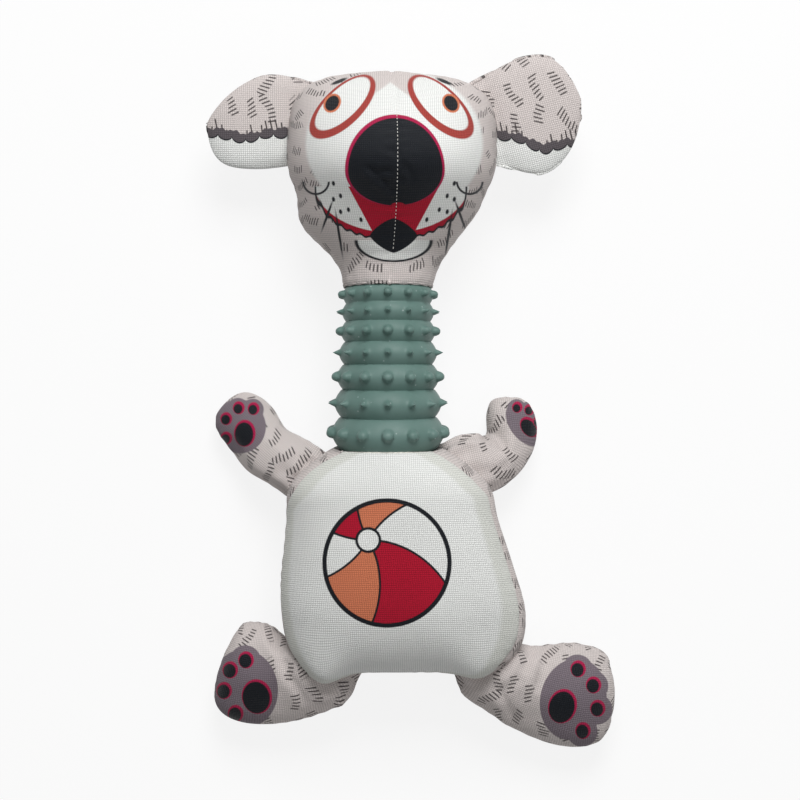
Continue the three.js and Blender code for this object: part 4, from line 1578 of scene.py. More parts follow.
class Prints:
    """What is printed on each cover, at places as they are seen from above."""

    both_sides = (-1.0, 1.0)
    blaze = Spot(-1.3, 200.0, 42.5, 36.0)
    peak = (-3.2, 229.5)
    peak_slope = 0.72
    peak_half = 14.0
    eyes = (-2.6, 217.8)
    eye_apart = 23.6
    eye_turn = 46.3
    smile = Spot(-2.6, 178.7, 36.3, 24.5)
    jowls = Spot(-2.6, 182.0, 37.5, 24.5)
    mouth_top = 179.5
    jowl_foot = 158.5
    jowl_slope = 0.54
    jowl_apart = 10.5
    lip = Spot(-1.6, 153.5, 18.0, 9.8)
    lip_top = 153.8
    gap = Spot(-1.6, 156.0, 11.4, 8.3)
    gap_power = 1.35
    notch = Spot(0.6, 170.0, 3.6, 1.9)
    corner = Spot(-2.0, 182.2, 6.2, 6.3)
    corner_apart = 36.9
    corner_top = 181.8
    whisker_middle = -1.5
    whisker_roots = (
        (29.0, 181.0),
        (25.6, 175.0),
        (29.0, 173.4),
        (21.8, 168.4),
        (25.6, 167.4),
        (15.8, 163.6),
    )
    whisker_strokes = ((32.0, 165.5, 7.4, 20.0), (26.3, 156.7, 10.4, -9.0))
    ear_pitch = 2.4
    pad_shift = (0.35, 0.5)
    pad_rim = 0.75
    ball = Spot(-4.8, -1.2, 30.0, 30.0)
    knob = Spot(-13.8, 9.8, 5.6, 5.6)
    ball_panels = 6
    ball_twist = 0.012

    @classmethod
    def eye(cls, paint: Painter, side: float) -> None:
        """Prints one almond eye, the left one for side -1 and the right one for side 1."""
        x, y = cls.eyes[0] + side * cls.eye_apart, cls.eyes[1]
        turn = 90.0 + side * cls.eye_turn
        paint.dab(Spot(x, y, 20.2, 9.2, turn), Ink.RIM)
        paint.dab(Spot(x - side * 0.1, y + 1.5, 17.0, 7.0, turn), Ink.WHITE)
        look = Spot(x + side * 4.9, y + 1.7, 4.9, 3.9, 90.0 + side * 35.0)
        paint.dab(look, Ink.ORANGE)
        paint.dab(look.grown(-0.95), Ink.BLACK)
        paint.dab(Spot(x + side * 1.6, y + 12.2, 4.0, 0.8, -side * 22.0), Ink.BLACK)

    @classmethod
    def mouth(cls, paint: Painter) -> None:
        """Prints the open mouth between the jowls, the dark gap in its middle and the lip under it."""
        x, y = paint.x, paint.y
        low = paint.within(y - cls.mouth_top)
        waves = (x * 1.35).math("SINE") * 0.4
        outer = paint.reach(cls.smile) + waves
        inner = paint.within(paint.reach(cls.jowls))
        off = abs(x - cls.gap.x)
        jowl = inner * paint.within((y - cls.jowl_foot) * cls.jowl_slope + cls.jowl_apart - off)
        paint.fill(inner * low, Ink.WHITE)
        paint.fill(paint.within(outer) * low * (1.0 - jowl), Ink.RED)
        paint.fill(paint.within(abs(outer) - 0.45) * low, Ink.BLACK)
        below = paint.within(y - cls.lip_top, 0.8)
        paint.fill(paint.within(paint.reach(cls.lip)) * below, Ink.WHITE)
        paint.ring(cls.lip, 0.9, Ink.BLACK, below)
        high = abs(y - cls.gap.y) / cls.gap.high
        gap = (off / cls.gap.across) ** cls.gap_power + high**cls.gap_power
        paint.fill(paint.within((gap - 1.0) * 7.0), Ink.BLACK)

    @classmethod
    def nose(cls, paint: Painter) -> None:
        """Prints the dark nose with its bright rim and the notch at its foot."""
        paint.fill(paint.within(paint.egg(-1.0, 187.3, 24.0, 26.8, 17.0)), Ink.MAGENTA)
        paint.fill(paint.within(paint.egg(-0.8, 187.1, 22.7, 25.3, 16.7)), Ink.BLACK)
        paint.dab(cls.notch, Ink.RED)

    @classmethod
    def whiskers(cls, paint: Painter) -> None:
        """Prints the smile's corners, whisker roots and whiskers."""
        for side in cls.both_sides:
            for x, y in cls.whisker_roots:
                paint.dab(Spot(cls.whisker_middle + side * x, y, 0.75, 1.2, -side * 14.0), Ink.BLACK)
            low = paint.within(paint.y - cls.corner_top)
            paint.ring(cls.corner.grown(0.0, side * cls.corner_apart), 1.0, Ink.BLACK, low)
            for x, y, length, lean in cls.whisker_strokes:
                paint.dab(Spot(cls.whisker_middle + side * x, y, 0.6, length, side * lean), Ink.BLACK)

    @classmethod
    def face(cls, paint: Painter) -> None:
        """Prints the dog's face."""
        paint.ticks(3.0)
        paint.limit = paint.within(0.0 - paint.side)
        paint.fill(paint.within(paint.reach(cls.blaze), 1.4), Ink.WHITE)
        off = abs(paint.x - cls.peak[0])
        crown = paint.within(cls.peak[1] - off * cls.peak_slope - paint.y, 1.4)
        paint.fill(crown * paint.within(off - cls.peak_half, 3.0), Ink.TICKED)
        for side in cls.both_sides:
            cls.eye(paint, side)
        cls.mouth(paint)
        cls.nose(paint)
        cls.whiskers(paint)

    @classmethod
    def ear(cls, paint: Painter, band: Band) -> None:
        """Prints an ear with a ragged dark band and a pale lower part."""
        paint.ticks(band.seed)
        x = paint.x
        hollow = ((x - band.dip.x) / band.dip.across) ** 2.0
        sag = (0.0 - hollow).math("EXPONENT") * band.dip.high
        line = paint.y - (band.level + x * band.slope) + sag
        ragged = (x * 1.9).math("SINE") * 0.35 + (x * 0.83).math("SINE") * 0.5
        lobes = abs((x * 0.47 + band.seed).math("SINE")) ** 0.5
        drip = lobes * 2.2 + (x * 0.21 + band.seed).math("SINE") * 0.5 + 2.2
        number = (x / cls.ear_pitch).math("ROUND")
        uneven = paint.uneven(number, band.seed)
        shifted = x - number * cls.ear_pitch + line * (uneven - 0.4) * 0.4
        stroke = paint.within(abs(shifted) - 0.34, 0.3)
        paint.fill(stroke * paint.within(line - (uneven - 0.25) * 6.5), Ink.TICK)
        paint.fill(paint.within(line + ragged), Ink.EAR_BAND)
        paint.fill(paint.within(line + drip), Ink.BLACK)
        paint.fill(paint.within(line + drip + 0.7), Ink.WHITE)

    @classmethod
    def paw(cls, paint: Painter, sole: Sole) -> None:
        """Prints the sole of a paw."""
        paint.ticks(sole.patch.x * 0.37)
        paint.limit = paint.within(-1.5 - paint.side, 1.0)
        patch = paint.reach(sole.patch)
        for x, y in sole.toes:
            patch = patch.smallest(paint.reach(Spot(x, y, sole.toe * 2.5, sole.toe * 2.5)))
        paint.fill(paint.within(patch), Ink.SOLE)
        for spot in [sole.pad, *(Spot(x, y, sole.toe, sole.toe * 1.12) for x, y in sole.toes)]:
            paint.dab(spot.grown(cls.pad_rim, *cls.pad_shift), Ink.MAGENTA)
            paint.dab(spot, Ink.BLACK)

    @classmethod
    def torso(cls, paint: Painter) -> None:
        """Prints the belly with a striped ball, and the back with fur strokes."""
        paint.ticks(11.0)
        paint.limit = paint.within(0.2 - paint.side, 0.6)
        paint.fill(paint.within(-1.0 - paint.side), Ink.WHITE)
        paint.fill(paint.within(paint.side - 13.0, 3.0) * 0.5, Ink.SIDE_BAND)
        inside = paint.within(paint.reach(cls.ball))
        dx, dy = paint.x - cls.knob.x, paint.y - cls.knob.y
        far = (dx * dx + dy * dy).math("SQRT")
        angle = paint.graph.math("ARCTAN2", dy, dx) + far * cls.ball_twist
        place = angle * (cls.ball_panels / math.tau) + float(cls.ball_panels)
        number = place.math("FLOOR")
        across = (place - number - 0.5) * (math.tau / cls.ball_panels)
        gore_edge = (math.pi / cls.ball_panels - abs(across)) * far
        kind = number.math("MODULO", 3.0)
        paint.fill(inside, Ink.WHITE)
        paint.fill(inside * paint.within(abs(kind - 1.0) - 0.5, 0.1), Ink.ORANGE)
        paint.fill(inside * paint.within(1.5 - kind, 0.1), Ink.RED)
        paint.fill(inside * paint.within(gore_edge - 0.55), Ink.BLACK)
        paint.dab(cls.knob, Ink.WHITE)
        paint.ring(cls.knob, 1.3, Ink.BLACK)
        paint.ring(cls.ball, 2.1, Ink.BLACK)


class Torso:
    """Torso cover and its two pads of filling."""

    collar_hole = 22.8
    hip_middle = 1.5
    hip_half = 38.0
    hip_width = 12.0
    left_hip_drop = 8.0
    right_hip_drop = 4.5
    hip_lift = 4.0
    hip_top = -28.0
    hip_run = 24.0
    hip_level = 24.0
    hip_rise = 14.0
    hip_turn = 20.0
    lift_top = 62.0
    lift_run = 20.0
    press_start = (0.0, 0.054, 0.059)
    press_end = (0.0, 0.0494, 0.0779)

    def hip_corners(self, points: np.ndarray) -> np.ndarray:
        """Draws the belly's two lower corners down over the legs."""
        off = points[..., 0] - self.hip_middle
        near = bell(np.abs(off) - self.hip_half, self.hip_width)
        low = smooth((self.hip_top - points[..., 1]) / self.hip_run)
        front = smooth((points[..., 2] - self.hip_level) / self.hip_rise)
        share = near * low * front
        moved = points.copy()
        right = smooth(off / self.hip_turn + 0.5)
        moved[..., 1] -= mix(self.left_hip_drop, self.right_hip_drop, right) * share
        moved[..., 2] += self.hip_lift * share * smooth((self.lift_top - points[..., 2]) / self.lift_run)
        return moved

    def build(self, frame: dict[str, Any], finishes: "Finishes") -> None:
        """Makes the torso's pieces.

        Args:
            frame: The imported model.
            finishes: The shared materials.
        """
        shape = CoverShape(
            "torso_cover",
            TorsoForm(),
            48,
            104,
            2.0,
            filling=Filling(slack=0.0, seam_shrink=0.03, calm=14, side_cap=0.3),
            hem_radius=self.collar_hole,
            hem_side=-1.0,
            warp=self.hip_corners,
            collar_level=TORSO_TOP,
        )
        cover = shape.build(shape.shaped())
        cover.data.materials.append(Canvas("torso_canvas", Ink.TICKED, Prints.torso).build())
        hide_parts("torso_belly_panel", "torso_back_panel")
        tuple(self.press_start)
        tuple(self.press_end)
        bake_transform(cover)
        LOG.info("torso_cover")
        belly = finishes.filling(frame, "torso_belly_stuffing", 2.6, 4.0, 2.4)
        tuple(self.press_start)
        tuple(self.press_end)
        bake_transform(belly)
        back = finishes.filling(frame, "torso_back_stuffing", 2.6, 5.0, 2.4)
        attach(back, "torso")
        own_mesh(back)


class Head:
    """Head cover with its sewn middle seam, and its filling."""

    collar_hole = 19.9
    seam_depth = 0.8
    seam_width = 1.1
    pucker = 0.3
    pucker_pitch = 5.2
    pucker_reach = 5.0
    seam_flat = 1.0
    wander = 3.0
    wander_size = 12.0
    wander_seed = 21.0
    collar_stretch = 22.0
    nose_creases = (
        Crease((-5.0, 197.4), (1.6, 195.4), 1.2),
        Crease((-14.6, 189.4), (-9.6, 184.0), 1.3),
        Crease((-9.6, 184.0), (-4.6, 180.8), 1.3),
        Crease((-10.4, 185.0), (-2.4, 187.8), 1.2),
        Crease((2.6, 193.2), (1.6, 181.0), 1.1),
        Crease((3.4, 191.4), (8.0, 182.0), 1.0),
        Crease((-4.2, 180.6), (-1.4, 175.8), 0.9),
    )

    def face_relief(self, grid: Grid) -> np.ndarray:
        """Relief of the middle seam of the face, in millimetres."""
        far = np.abs(grid.points[..., 0] - HeadForm().seam_across(grid.points[..., 1]))
        front = grid.points[..., 2] > SEAM_HEIGHT
        along = np.tile(grid.run(grid.steps // 4)[:, None], (1, grid.steps))
        height = -self.seam_depth * bell(far, self.seam_width)
        wander = drift_noise(grid.points, self.wander_size, self.wander_seed)
        wave = np.sin(along * (math.tau / self.pucker_pitch) + wander * self.wander)
        height = height + self.pucker * wave * beside_seam(far, self.pucker_reach, self.seam_flat)
        return np.where(front, height, 0.0)

    def build(self, frame: dict[str, Any], finishes: "Finishes") -> None:
        """Makes the head's pieces.

        Args:
            frame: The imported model.
            finishes: The shared materials.
        """
        shape = CoverShape(
            "head_cover",
            HeadForm(),
            62,
            112,
            9.0,
            filling=Filling(slack=0.01, seam_shrink=0.05, calm=8),
            hem_radius=self.collar_hole,
            hem_side=1.0,
            root_fold=0.15,
            root_reach=14.0,
            root_folds=17,
            creases=self.nose_creases,
            extra=self.face_relief,
            collar_level=HEAD_BASE,
        )
        cover = shape.build(shape.shaped())
        cover.data.materials.append(Canvas("head_canvas", Ink.TICKED, Prints.face).build())
        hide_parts("head_left_face_panel", "head_right_face_panel", "head_back_panel")
        collar, cheek = on_neck(HEAD_BASE), on_neck(HEAD_BASE + self.collar_stretch)
        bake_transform(cover)
        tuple(collar)
        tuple(cheek)
        LOG.info("head_cover")
        filling = finishes.filling(frame, "head_stuffing", 2.8, 6.0, 2.0)
        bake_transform(filling)
        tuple(collar)
        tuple(cheek)


@dataclass(frozen=True)
class Flap:
    """One limb or ear with its cover and filling."""

    name: str
    carrier: str
    form: FlapForm
    steps: int
    seed: float
    filling_node: str
    filling: Filling
    paint: Callable[[Painter], None]
    root_fold: float
    crossing: tuple[float, float]
    rows: int = 30
    groove: float = 0.7
    pucker: float = 0.35
    lump: float = 0.8
    fullness: float = 0.84
    fold_run: float = 9.0
    creases: Sequence[Crease] = ()

    def build(self, finishes: "Finishes") -> None:
        """Makes the flap's pieces.

        Args:
            finishes: The shared materials.
        """
        inside = self.form.hidden + self.form.tuck
        shape = CoverShape(
            f"{self.name}_cover",
            self.form,
            self.rows,
            self.steps,
            self.seed,
            filling=self.filling,
            lump=self.lump,
            groove=self.groove,
            pucker=self.pucker,
            root_fold=self.root_fold,
            root_reach=inside + self.fold_run,
            creases=self.creases,
        )
        grid = shape.shaped()
        cover = shape.build(grid)
        cover.data.materials.append(Canvas(f"{self.name}_canvas", Ink.TICKED, self.paint).build())
        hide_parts(f"{self.name}_front_panel", f"{self.name}_back_panel")
        inner, outer = self.crossing
        start = (np.array(self.form.seat) + heading(self.form.aim) * inner) * MM
        end = (np.array(self.form.seat) + heading(self.form.aim) * outer) * MM
        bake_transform(cover)
        LOG.info("%s_cover", self.name)
        wad_name = f"{self.filling_node}_fibre"
        wad = finishes.fibre_maker.inside(wad_name, grid, inside, self.seed + 1.0, self.fullness)
        finishes.stand_in(wad, self.filling_node)
        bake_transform(wad)


class Flaps:
    """Arms, legs and ears, with their forms, prints and folds."""

    arm_filling = Filling(swell_cap=1.6, slack=0.02, seam_shrink=0.05)
    leg_filling = Filling(swell_cap=2.0, slack=0.03, seam_shrink=0.05)
    ear_filling = Filling(
        swell_cap=1.0, slack=0.0, seam_shrink=0.02, pressure=2.0, side_cap=0.15, calm=12
    )
    arm = dict(tuck=5.0, hidden=9.0, swell=10.0, root_run=18.0, tip_level=10.5, root_taper=0.85)
    leg = dict(tuck=5.0, hidden=12.0, swell=15.0, root_run=24.0, tip_level=15.5, root_taper=0.45)
    ear_form = dict(
        bend=0.0,
        reach=43.4,
        tuck=14.0,
        hidden=0.0,
        swell=3.2,
        root_run=12.0,
        tip_level=SEAM_HEIGHT,
        root_taper=1.0,
        widest=0.6,
        thick_end=6.0,
        root_fullness=0.3,
    )

    @staticmethod
    def limb(
        name: str, seed: float, form: FlapForm, filling: Filling, sole: Sole, *creases: Crease
    ) -> Flap:
        """Makes a limb of its form, filling, print and folds."""
        return Flap(
            name=name,
            carrier="torso",
            form=form,
            steps=48,
            seed=seed,
            filling_node=f"{name}_stuffing",
            filling=filling,
            paint=lambda paint: Prints.paw(paint, sole),
            root_fold=0.8,
            crossing=(-3.0, 14.0),
            creases=creases,
        )

    def left_arm(self) -> Flap:
        """The left arm, which lies nearly straight."""
        under, over = Edge(14.5, 15.0, 8.0, 2.7, 2.2, 0.45), Edge(14.5, 15.0, 8.0, 2.7, -3.4, 0.44)
        form = FlapForm((-45.87, 43.0, 26.0), 144.0, -10.0, 50.4, under, over, **self.arm)
        toes = ((-76.3, 72.8), (-69.2, 72.4), (-82.3, 67.6), (-82.3, 58.3))
        sole = Sole(Spot(-75.6, 64.4, 12.6, 13.0, 20.0), Spot(-73.4, 60.6, 4.4, 5.7), toes, 2.1)
        fold = Crease((-50.0, 50.0), (-58.5, 39.5), 1.0, 2.2)
        return self.limb("left_arm", 13.0, form, self.arm_filling, sole, fold)

    def right_arm(self) -> Flap:
        """The right arm, which bends up at its middle."""
        inner, outer = Edge(16.2, 10.4, 7.0, 2.7, 0.4, 0.55), Edge(15.5, 13.6, 8.0, 2.7, -1.4, 0.45)
        bend = {"bend_stretch": (0.25, 0.7), **self.arm}
        form = FlapForm((35.74, 45.0, 26.0), 14.0, 82.0, 45.0, inner, outer, **bend)
        toes = ((57.4, 73.1), (63.2, 71.9), (67.4, 66.3), (68.8, 58.4))
        sole = Sole(Spot(62.0, 65.6, 12.4, 7.8, -52.0), Spot(63.2, 63.6, 4.7, 3.2, -52.0), toes, 1.75)
        fold = Crease((46.0, 61.0), (55.5, 50.0), 1.2, 2.2)
        return self.limb("right_arm", 15.0, form, self.arm_filling, sole, fold)

    def left_leg(self) -> Flap:
        """The left leg, which bends up at its foot."""
        under, over = Edge(20.0, 24.0, 8.0, 3.0), Edge(12.5, 24.4, 13.0, 3.4)
        form = FlapForm((-34.01, -51.0, 26.0), 207.0, -45.0, 53.4, under, over, **self.leg)
        toes = ((-72.8, -48.2), (-80.4, -53.0), (-83.3, -62.9), (-77.8, -73.9))
        sole = Sole(Spot(-73.0, -61.4, 15.8, 18.8, 8.0), Spot(-67.6, -65.8, 6.5, 7.6, 10.0), toes, 3.0)
        folds = (
            Crease((-62.2, -34.0), (-55.0, -46.0), 1.8, 2.4),
            Crease((-55.0, -46.0), (-51.0, -60.0), 1.6, 2.4),
            Crease((-50.5, -57.0), (-43.0, -70.0), 1.3, 2.2),
            Crease((-39.0, -62.5), (-24.0, -64.5), 1.4, 2.2),
        )
        return self.limb("left_leg", 17.0, form, self.leg_filling, sole, *folds)

    def right_leg(self) -> Flap:
        """The right leg, which reaches furthest."""
        over, under = Edge(17.0, 25.4, 14.0, 3.6), Edge(17.0, 24.0, 9.0, 3.0)
        form = FlapForm((42.55, -51.0, 26.0), -36.0, 36.0, 65.5, over, under, **self.leg)
        toes = ((86.6, -52.5), (94.0, -60.2), (96.0, -71.4), (88.9, -82.1))
        sole = Sole(Spot(84.6, -66.6, 15.8, 19.8, -14.0), Spot(79.1, -70.4, 6.1, 7.6, -16.0), toes, 2.95)
        folds = (
            Crease((65.0, -42.0), (60.5, -55.0), 1.6, 2.4),
            Crease((60.5, -55.0), (51.0, -63.0), 1.4, 2.2),
            Crease((72.5, -43.0), (67.0, -64.0), 1.5, 2.4),
            Crease((48.0, -60.0), (57.0, -78.0), 1.3, 2.2),
            Crease((30.0, -58.5), (43.0, -65.0), 1.3, 2.2),
        )
        return self.limb("right_leg", 19.0, form, self.leg_filling, sole, *folds)

    def ear(self, name: str, across: float, aim: float, edges: tuple[Edge, Edge], band: Band) -> Flap:
        """Makes an ear of the place and heading of its root, its two edges and its print."""
        first, second = edges
        seat = (across, 210.0, SEAM_HEIGHT)
        return Flap(
            name=name,
            carrier="head",
            form=FlapForm(seat, aim, first_edge=first, second_edge=second, **self.ear_form),
            steps=64,
            seed=band.seed + 5.0,
            filling_node=f"{name}_wadding",
            filling=self.ear_filling,
            paint=lambda paint: Prints.ear(paint, band),
            root_fold=0.2,
            crossing=(-4.0, 12.0),
            groove=0.4,
            pucker=0.12,
            lump=0.4,
            fullness=0.6,
        )

    def all(self) -> list[Flap]:
        """All flaps, limbs first."""
        left = (Edge(19.5, 23.0, 9.0, 2.2), Edge(18.6, 28.0, 2.6, 1.25))
        left_band = Band(207.6, 0.0, Spot(-72.0, 0.0, 8.0, 2.6), 31.0)
        right = (Edge(20.5, 27.4, 9.5, 1.4), Edge(17.5, 32.6, 4.2, 1.4))
        right_band = Band(211.0, -0.1, Spot(70.0, 0.0, 8.0, 3.6), 37.0)
        return [
            self.left_arm(),
            self.right_arm(),
            self.left_leg(),
            self.right_leg(),
            self.ear("left_ear", -48.19, 180.0, left, left_band),
            self.ear("right_ear", 46.75, 15.0, right, right_band),
        ]


@dataclass(frozen=True)
class Neck:
    """The rubber neck: a turned tube with seven ribs and a row of nubs on each."""

    ribs: int = 7
    pitch_growth: float = 1.11
    top_radius: float = 21.6
    bottom_radius: float = 26.9
    top_groove: float = 1.5
    bottom_groove: float = 3.6
    top_bore: float = 17.4
    bottom_bore: float = 20.4
    spigot_wall: float = 2.1
    flange_lip: float = 1.2
    flange_thickness: float = 2.0
    nubs: int = 14
    crest_place: float = 0.5
    nub_place: float = 0.46
    fat_radius: float = 2.9
    fat_height: float = 3.2
    spike_radius: float = 2.1
    spike_height: float = 3.8
    top_nub_size: float = 0.66
    rows_per_rib: int = 25
    columns_per_nub: int = 20
    bore_rows: int = 24
    flange_room: float = 3.1
    end_gap: float = 0.4
    flare: float = 1.5
    rib_fullness: float = 1.8
    fat_edge: float = 3.2
    fat_top: float = 0.62
    spike_top: float = 0.9
    foot: float = 0.10
    foot_reach: float = 1.25
    nub_wall: float = 1.5
    smooth_angle: float = 50.0

    def layout(self) -> list[tuple[float, float, float]]:
        """Top, height and share of the way down of each rib, from the top one down."""
        weights = [self.pitch_growth**number for number in range(self.ribs)]
        unit = NECK_LENGTH / sum(weights)
        top = HEAD_BASE
        made = []
        for number, weight in enumerate(weights):
            made.append((top, weight * unit, number / (self.ribs - 1)))
            top -= weight * unit
        return made

    def outline(self) -> list[tuple[float, float]]:
        """Radius and height of the tube's outline: outer ribs from the top down, then the bore upwards.

        Returns:
            The outline, closed when its ends are joined.
        """
        top_spigot = self.top_bore + self.spigot_wall
        bottom_spigot = self.bottom_bore + self.spigot_wall
        room = self.flange_room
        ends = self.flange_thickness + room
        lip = top_spigot + self.flange_lip
        line = [(self.top_bore, HEAD_BASE + ends), (lip, HEAD_BASE + ends)]
        line += [(lip, HEAD_BASE + room), (top_spigot, HEAD_BASE + room)]
        line += [(top_spigot, HEAD_BASE + self.end_gap)]
        for top, height, share in self.layout():
            crest = mix(self.top_radius, self.bottom_radius, share**self.flare)
            groove = crest - mix(self.top_groove, self.bottom_groove, share)
            for row in range(self.rows_per_rib):
                down = (row + 0.5) / self.rows_per_rib
                side = min(down / self.crest_place, (1.0 - down) / (1.0 - self.crest_place))
                bulge = 1.0 - (1.0 - side) ** self.rib_fullness
                line.append((mix(groove, crest, bulge), top - down * height))
        line += [(bottom_spigot, TORSO_TOP - self.end_gap), (bottom_spigot, TORSO_TOP - room)]
        lip = bottom_spigot + self.flange_lip
        line += [(lip, TORSO_TOP - room), (lip, TORSO_TOP - ends), (self.bottom_bore, TORSO_TOP - ends)]
        for row in range(1, self.bore_rows):
            share = row / self.bore_rows
            up = mix(TORSO_TOP - ends, HEAD_BASE + ends, share)
            line.append((mix(self.bottom_bore, self.top_bore, share), up))
        return line

    def nub_height(self, angle: np.ndarray, up: np.ndarray, radius: np.ndarray) -> np.ndarray:
        """Height of the nubs over the ribs at points of the tube, in millimetres."""
        step = math.tau / self.nubs
        turn = (angle / step + 0.5) % 1.0 - 0.5
        round_way = turn * step * radius
        height = np.zeros_like(up)
        for number, (top, pitch, share) in enumerate(self.layout()):
            fat = number % 2 == 0
            scale = mix(self.top_nub_size, 1.0, share)
            wide = (self.fat_radius if fat else self.spike_radius) * scale
            tall = (self.fat_height if fat else self.spike_height) * mix(0.9, 1.0, share)
            crest = top - pitch * self.nub_place
            far = np.sqrt(round_way**2 + (up - crest) ** 2) / wide
            if fat:
                shape = (1.0 - np.minimum(far, 1.0) ** self.fat_edge) ** self.fat_top
            else:
                shape = np.maximum(1.0 - far, 0.0) ** self.spike_top
            foot = self.foot * np.exp(-((far / self.foot_reach) ** 4))
            height = np.maximum(height, tall * np.maximum(shape, foot))
        return height

    def build(self, frame: dict[str, Any], finishes: "Finishes") -> None:
        """Makes the neck's pieces.

        Args:
            frame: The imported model.
            finishes: The shared materials.
        """
        axis = Vector(on_neck(0.0))
        points = [(axis.x + radius * MM, up * MM, axis.z) for radius, up in self.outline()]
        edges = [(number, (number + 1) % len(points)) for number in range(len(points))]
        columns = self.nubs * self.columns_per_nub
        tube = Maker.turned("neck_tube_rubber", points, edges, columns, axis, (0.0, 1.0, 0.0))
        self.raise_nubs(tube)
        bpy.ops.object.shade_smooth_by_angle(angle=math.radians(self.smooth_angle))
        tube.data.materials.append(Rubber().build())
        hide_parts("neck_tube")
        base, top = on_neck(TORSO_TOP), on_neck(HEAD_BASE)
        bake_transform(tube)
        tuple(base)
        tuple(top)
        LOG.info("neck_tube_rubber")
        plug = finishes.filling(frame, "neck_stuffing", 2.0, 8.0)
        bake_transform(plug)
        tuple(base)
        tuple(top)

    def raise_nubs(self, tube: bpy.types.Object) -> None:
        """Pushes the outer wall out into nubs and leans the ribs towards the belly."""
        points = Maker.read(tube).astype(float) / MM
        dx, dz = points[:, 0] - NECK_ACROSS, points[:, 2] - SEAM_HEIGHT
        radius = np.hypot(dx, dz)
        angle = np.arctan2(dx, dz)
        on_ribs = (points[:, 1] < HEAD_BASE) & (points[:, 1] > TORSO_TOP)
        bore = mix(self.bottom_bore, self.top_bore, (points[:, 1] - TORSO_TOP) / NECK_LENGTH)
        outer = on_ribs & (radius > bore + self.nub_wall)
        height = np.where(outer, self.nub_height(angle, points[:, 1], radius), 0.0)
        points[:, 0] += dx / radius * height
        points[:, 2] += dz / radius * height
        points[:, 1] -= lean_at(points[:, 1]) * (points[:, 2] - SEAM_HEIGHT)
        Maker.move(tube, points)


@dataclass(frozen=True)
class Squeaker:
    """The squeaker's vinyl bellows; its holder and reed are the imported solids."""

    radius: float = 20.0
    wall: float = 0.9
    pleats: int = 3
    pleat_depth: float = 2.2
    mouth: float = 4.6
    shoulder: float = 2.0
    columns: int = 96
    rows_per_pleat: int = 12
    smooth_angle: float = 40.0

    def build(self, frame: dict[str, Any], finishes: "Finishes") -> None:
        """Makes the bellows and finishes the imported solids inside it.

        Args:
            frame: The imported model.
            finishes: The shared materials.
        """
        low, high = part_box("squeaker_bellows")
        middle = (Vector(low) + Vector(high)) / 2.0
        line = self.outline(low[2] / MM, high[2] / MM)
        points = [(middle.x + radius * MM, middle.y, up * MM) for radius, up in line]
        edges = [(number, (number + 1) % len(line)) for number in range(len(line))]
        off_axis = [edge for edge in edges if any(line[number][0] > 0.0 for number in edge)]
        upright = (0.0, 0.0, 1.0)
        bellows = Maker.turned("squeaker_bellows_vinyl", points, off_axis, self.columns, middle, upright)
        bpy.ops.object.shade_smooth_by_angle(angle=math.radians(self.smooth_angle))
        bellows.data.materials.append(finishes.vinyl)
        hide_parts("squeaker_bellows")
        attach(bellows, "torso")
        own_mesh(bellows)
        LOG.info("squeaker_bellows_vinyl")
        for name in ("squeaker_reed_holder", "squeaker_reed"):
            finishes.dress(frame["nodes"][name], finishes.plug)

    def outline(self, base: float, top: float) -> list[tuple[float, float]]:
        """Radius and height of the bellows' wall: outside from the mouth up, then inside down.

        Args:
            base: Height of its lower face.
            top: Height of its upper face.

        Returns:
            The outline, closed when its ends are joined.
        """
        outer = [(self.mouth, base), (self.radius - self.shoulder, base)]
        steps = self.pleats * self.rows_per_pleat
        run = top - base - 2.0 * self.shoulder
        for step in range(steps + 1):
            share = step / steps
            wave = 0.5 - 0.5 * math.cos(math.tau * self.pleats * share)
            outer.append((self.radius - self.pleat_depth * wave, base + self.shoulder + run * share))
        outer += [(self.radius - self.shoulder, top), (0.0, top)]
        inner = []
        for radius, up in reversed(outer):
            level = min(max(up, base + self.wall), top - self.wall)
            inner.append((radius if radius in (0.0, self.mouth) else radius - self.wall, level))
        return outer + inner


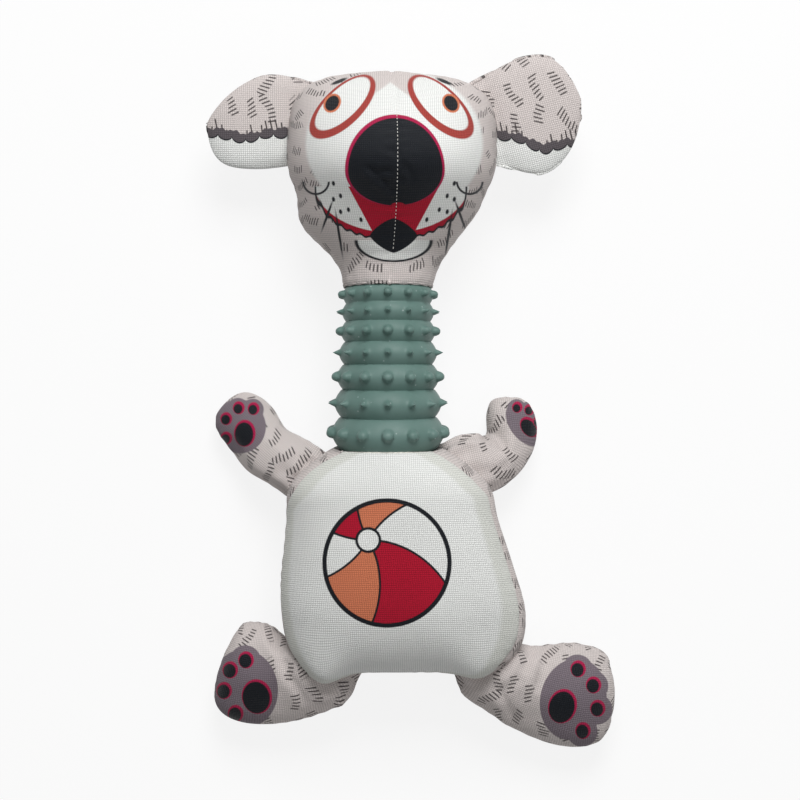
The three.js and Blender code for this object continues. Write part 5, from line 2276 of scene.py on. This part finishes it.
class Stitches:
    """Row of short stitches down the middle seam of the face."""

    gap = 2.1
    length = 1.15
    thick = 0.2
    flatness = 0.8
    lift = 0.1
    low = 148.0
    high = 215.0
    look_ahead = 0.8
    samples = 600
    drop_height = 200.0

    def build(self, finishes: "Finishes") -> None:
        """Makes the stitches on the finished head cover.

        Args:
            finishes: The shared materials.
        """
        cover = bpy.data.objects["head_cover"]
        ups = np.linspace(self.low, self.high, self.samples)
        xs = HeadForm().seam_across(ups)
        hits = []
        down = Vector((0.0, 0.0, -1.0))
        for x, up in zip(xs, ups):
            found, point, _, _ = cover.ray_cast(Vector((x, up, self.drop_height)) * MM, down)
            if found:
                hits.append(np.array(point) / MM)
        path = np.array(hits)
        run = distances(path)
        Maker.clear_selection()
        bpy.ops.mesh.primitive_uv_sphere_add(segments=8, ring_count=6, radius=1.0)
        model = bpy.context.active_object
        knot = np.array([vertex.co for vertex in model.data.vertices])
        faces = [list(polygon.vertices) for polygon in model.data.polygons]
        bpy.data.objects.remove(model)
        points: list[np.ndarray] = []
        rings: list[list[int]] = []
        for place in np.arange(self.gap / 2.0, run[-1], self.gap):
            middle = between(place, run, path)
            ahead = between(place + self.look_ahead, run, path)
            along = (ahead - middle) / max(np.linalg.norm(ahead - middle), 1e-6)
            side = np.array([1.0, 0.0, 0.0])
            out = np.cross(side, along)
            shaped = (
                knot[:, :1] * self.thick * side
                + knot[:, 1:2] * self.length / 2.0 * along
                + (knot[:, 2:] * self.thick * self.flatness) * out
            )
            start = len(points) * len(knot)
            points.append(middle + shaped + out * self.lift)
            rings.extend([[start + number for number in face] for face in faces])
        mesh = bpy.data.meshes.new("face_seam_stitches")
        mesh.from_pydata((np.concatenate(points) * MM).tolist(), [], rings)
        piece = Maker.add(mesh, "face_seam_stitches")
        bpy.ops.object.shade_smooth()
        piece.data.materials.append(finishes.stitch)
        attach(piece, "head")
        LOG.info("face_seam_stitches")


class Finishes:
    """Materials that several pieces share."""

    def __init__(self) -> None:
        """Makes the materials."""
        self.fibre = PlainFinish("fibre_filling", (0.82, 0.81, 0.78, 1.0), 0.95, 0.9, 0.5).build()
        self.vinyl = PlainFinish("squeaker_vinyl", (0.72, 0.70, 0.62, 1.0), 0.32, 0.6, 0.05).build()
        self.plug = PlainFinish("squeaker_plug", (0.62, 0.10, 0.07, 1.0), 0.5, 0.5, 0.06).build()
        self.stitch = PlainFinish("seam_thread", (0.74, 0.73, 0.69, 1.0), 0.75, 0.3, 0.1).build()
        self.thread = TwistedThread().build()
        self.fibre_maker = Fibre()

    @staticmethod
    def dress(piece: bpy.types.Object, material: bpy.types.Material) -> None:
        """Gives a piece one material."""
        piece.data.materials.clear()
        piece.data.materials.append(material)

    def filling(
        self, frame: dict[str, Any], node: str, voxel: float, seed: float, shrink: float = 0.9
    ) -> bpy.types.Object:
        """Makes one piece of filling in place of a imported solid.

        Args:
            frame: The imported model.
            node: Name of the solid.
            voxel: Size of its facets in millimetres.
            seed: Offset that gives each piece its own lumps.
            shrink: Least distance of the filling from the solid's sides in millimetres.

        Returns:
            The object, still without a body.
        """
        piece = self.fibre_maker.build(f"{node}_fibre", frame["nodes"][node], voxel, seed, shrink)
        self.stand_in(piece, node)
        return piece

    def stand_in(self, piece: bpy.types.Object, node: str) -> None:
        """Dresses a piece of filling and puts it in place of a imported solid."""
        piece.data.materials.append(self.fibre)
        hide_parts(node)
        LOG.info("%s_fibre", node)


def main() -> None:
    """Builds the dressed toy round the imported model."""
    logging.basicConfig(level=logging.INFO, format="%(name)s: %(message)s")
    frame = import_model()
    Studio().build()
    finishes = Finishes()
    Torso().build(frame, finishes)
    Neck().build(frame, finishes)
    Head().build(frame, finishes)
    Stitches().build(finishes)
    for flap in Flaps().all():
        flap.build(finishes)
    Squeaker().build(frame, finishes)
    for name in ("torso_drawn_thread", "head_drawn_thread"):
        finishes.dress(frame["nodes"][name], finishes.thread)
    bpy.context.view_layer.update()


if __name__ == "__main__":
    main()
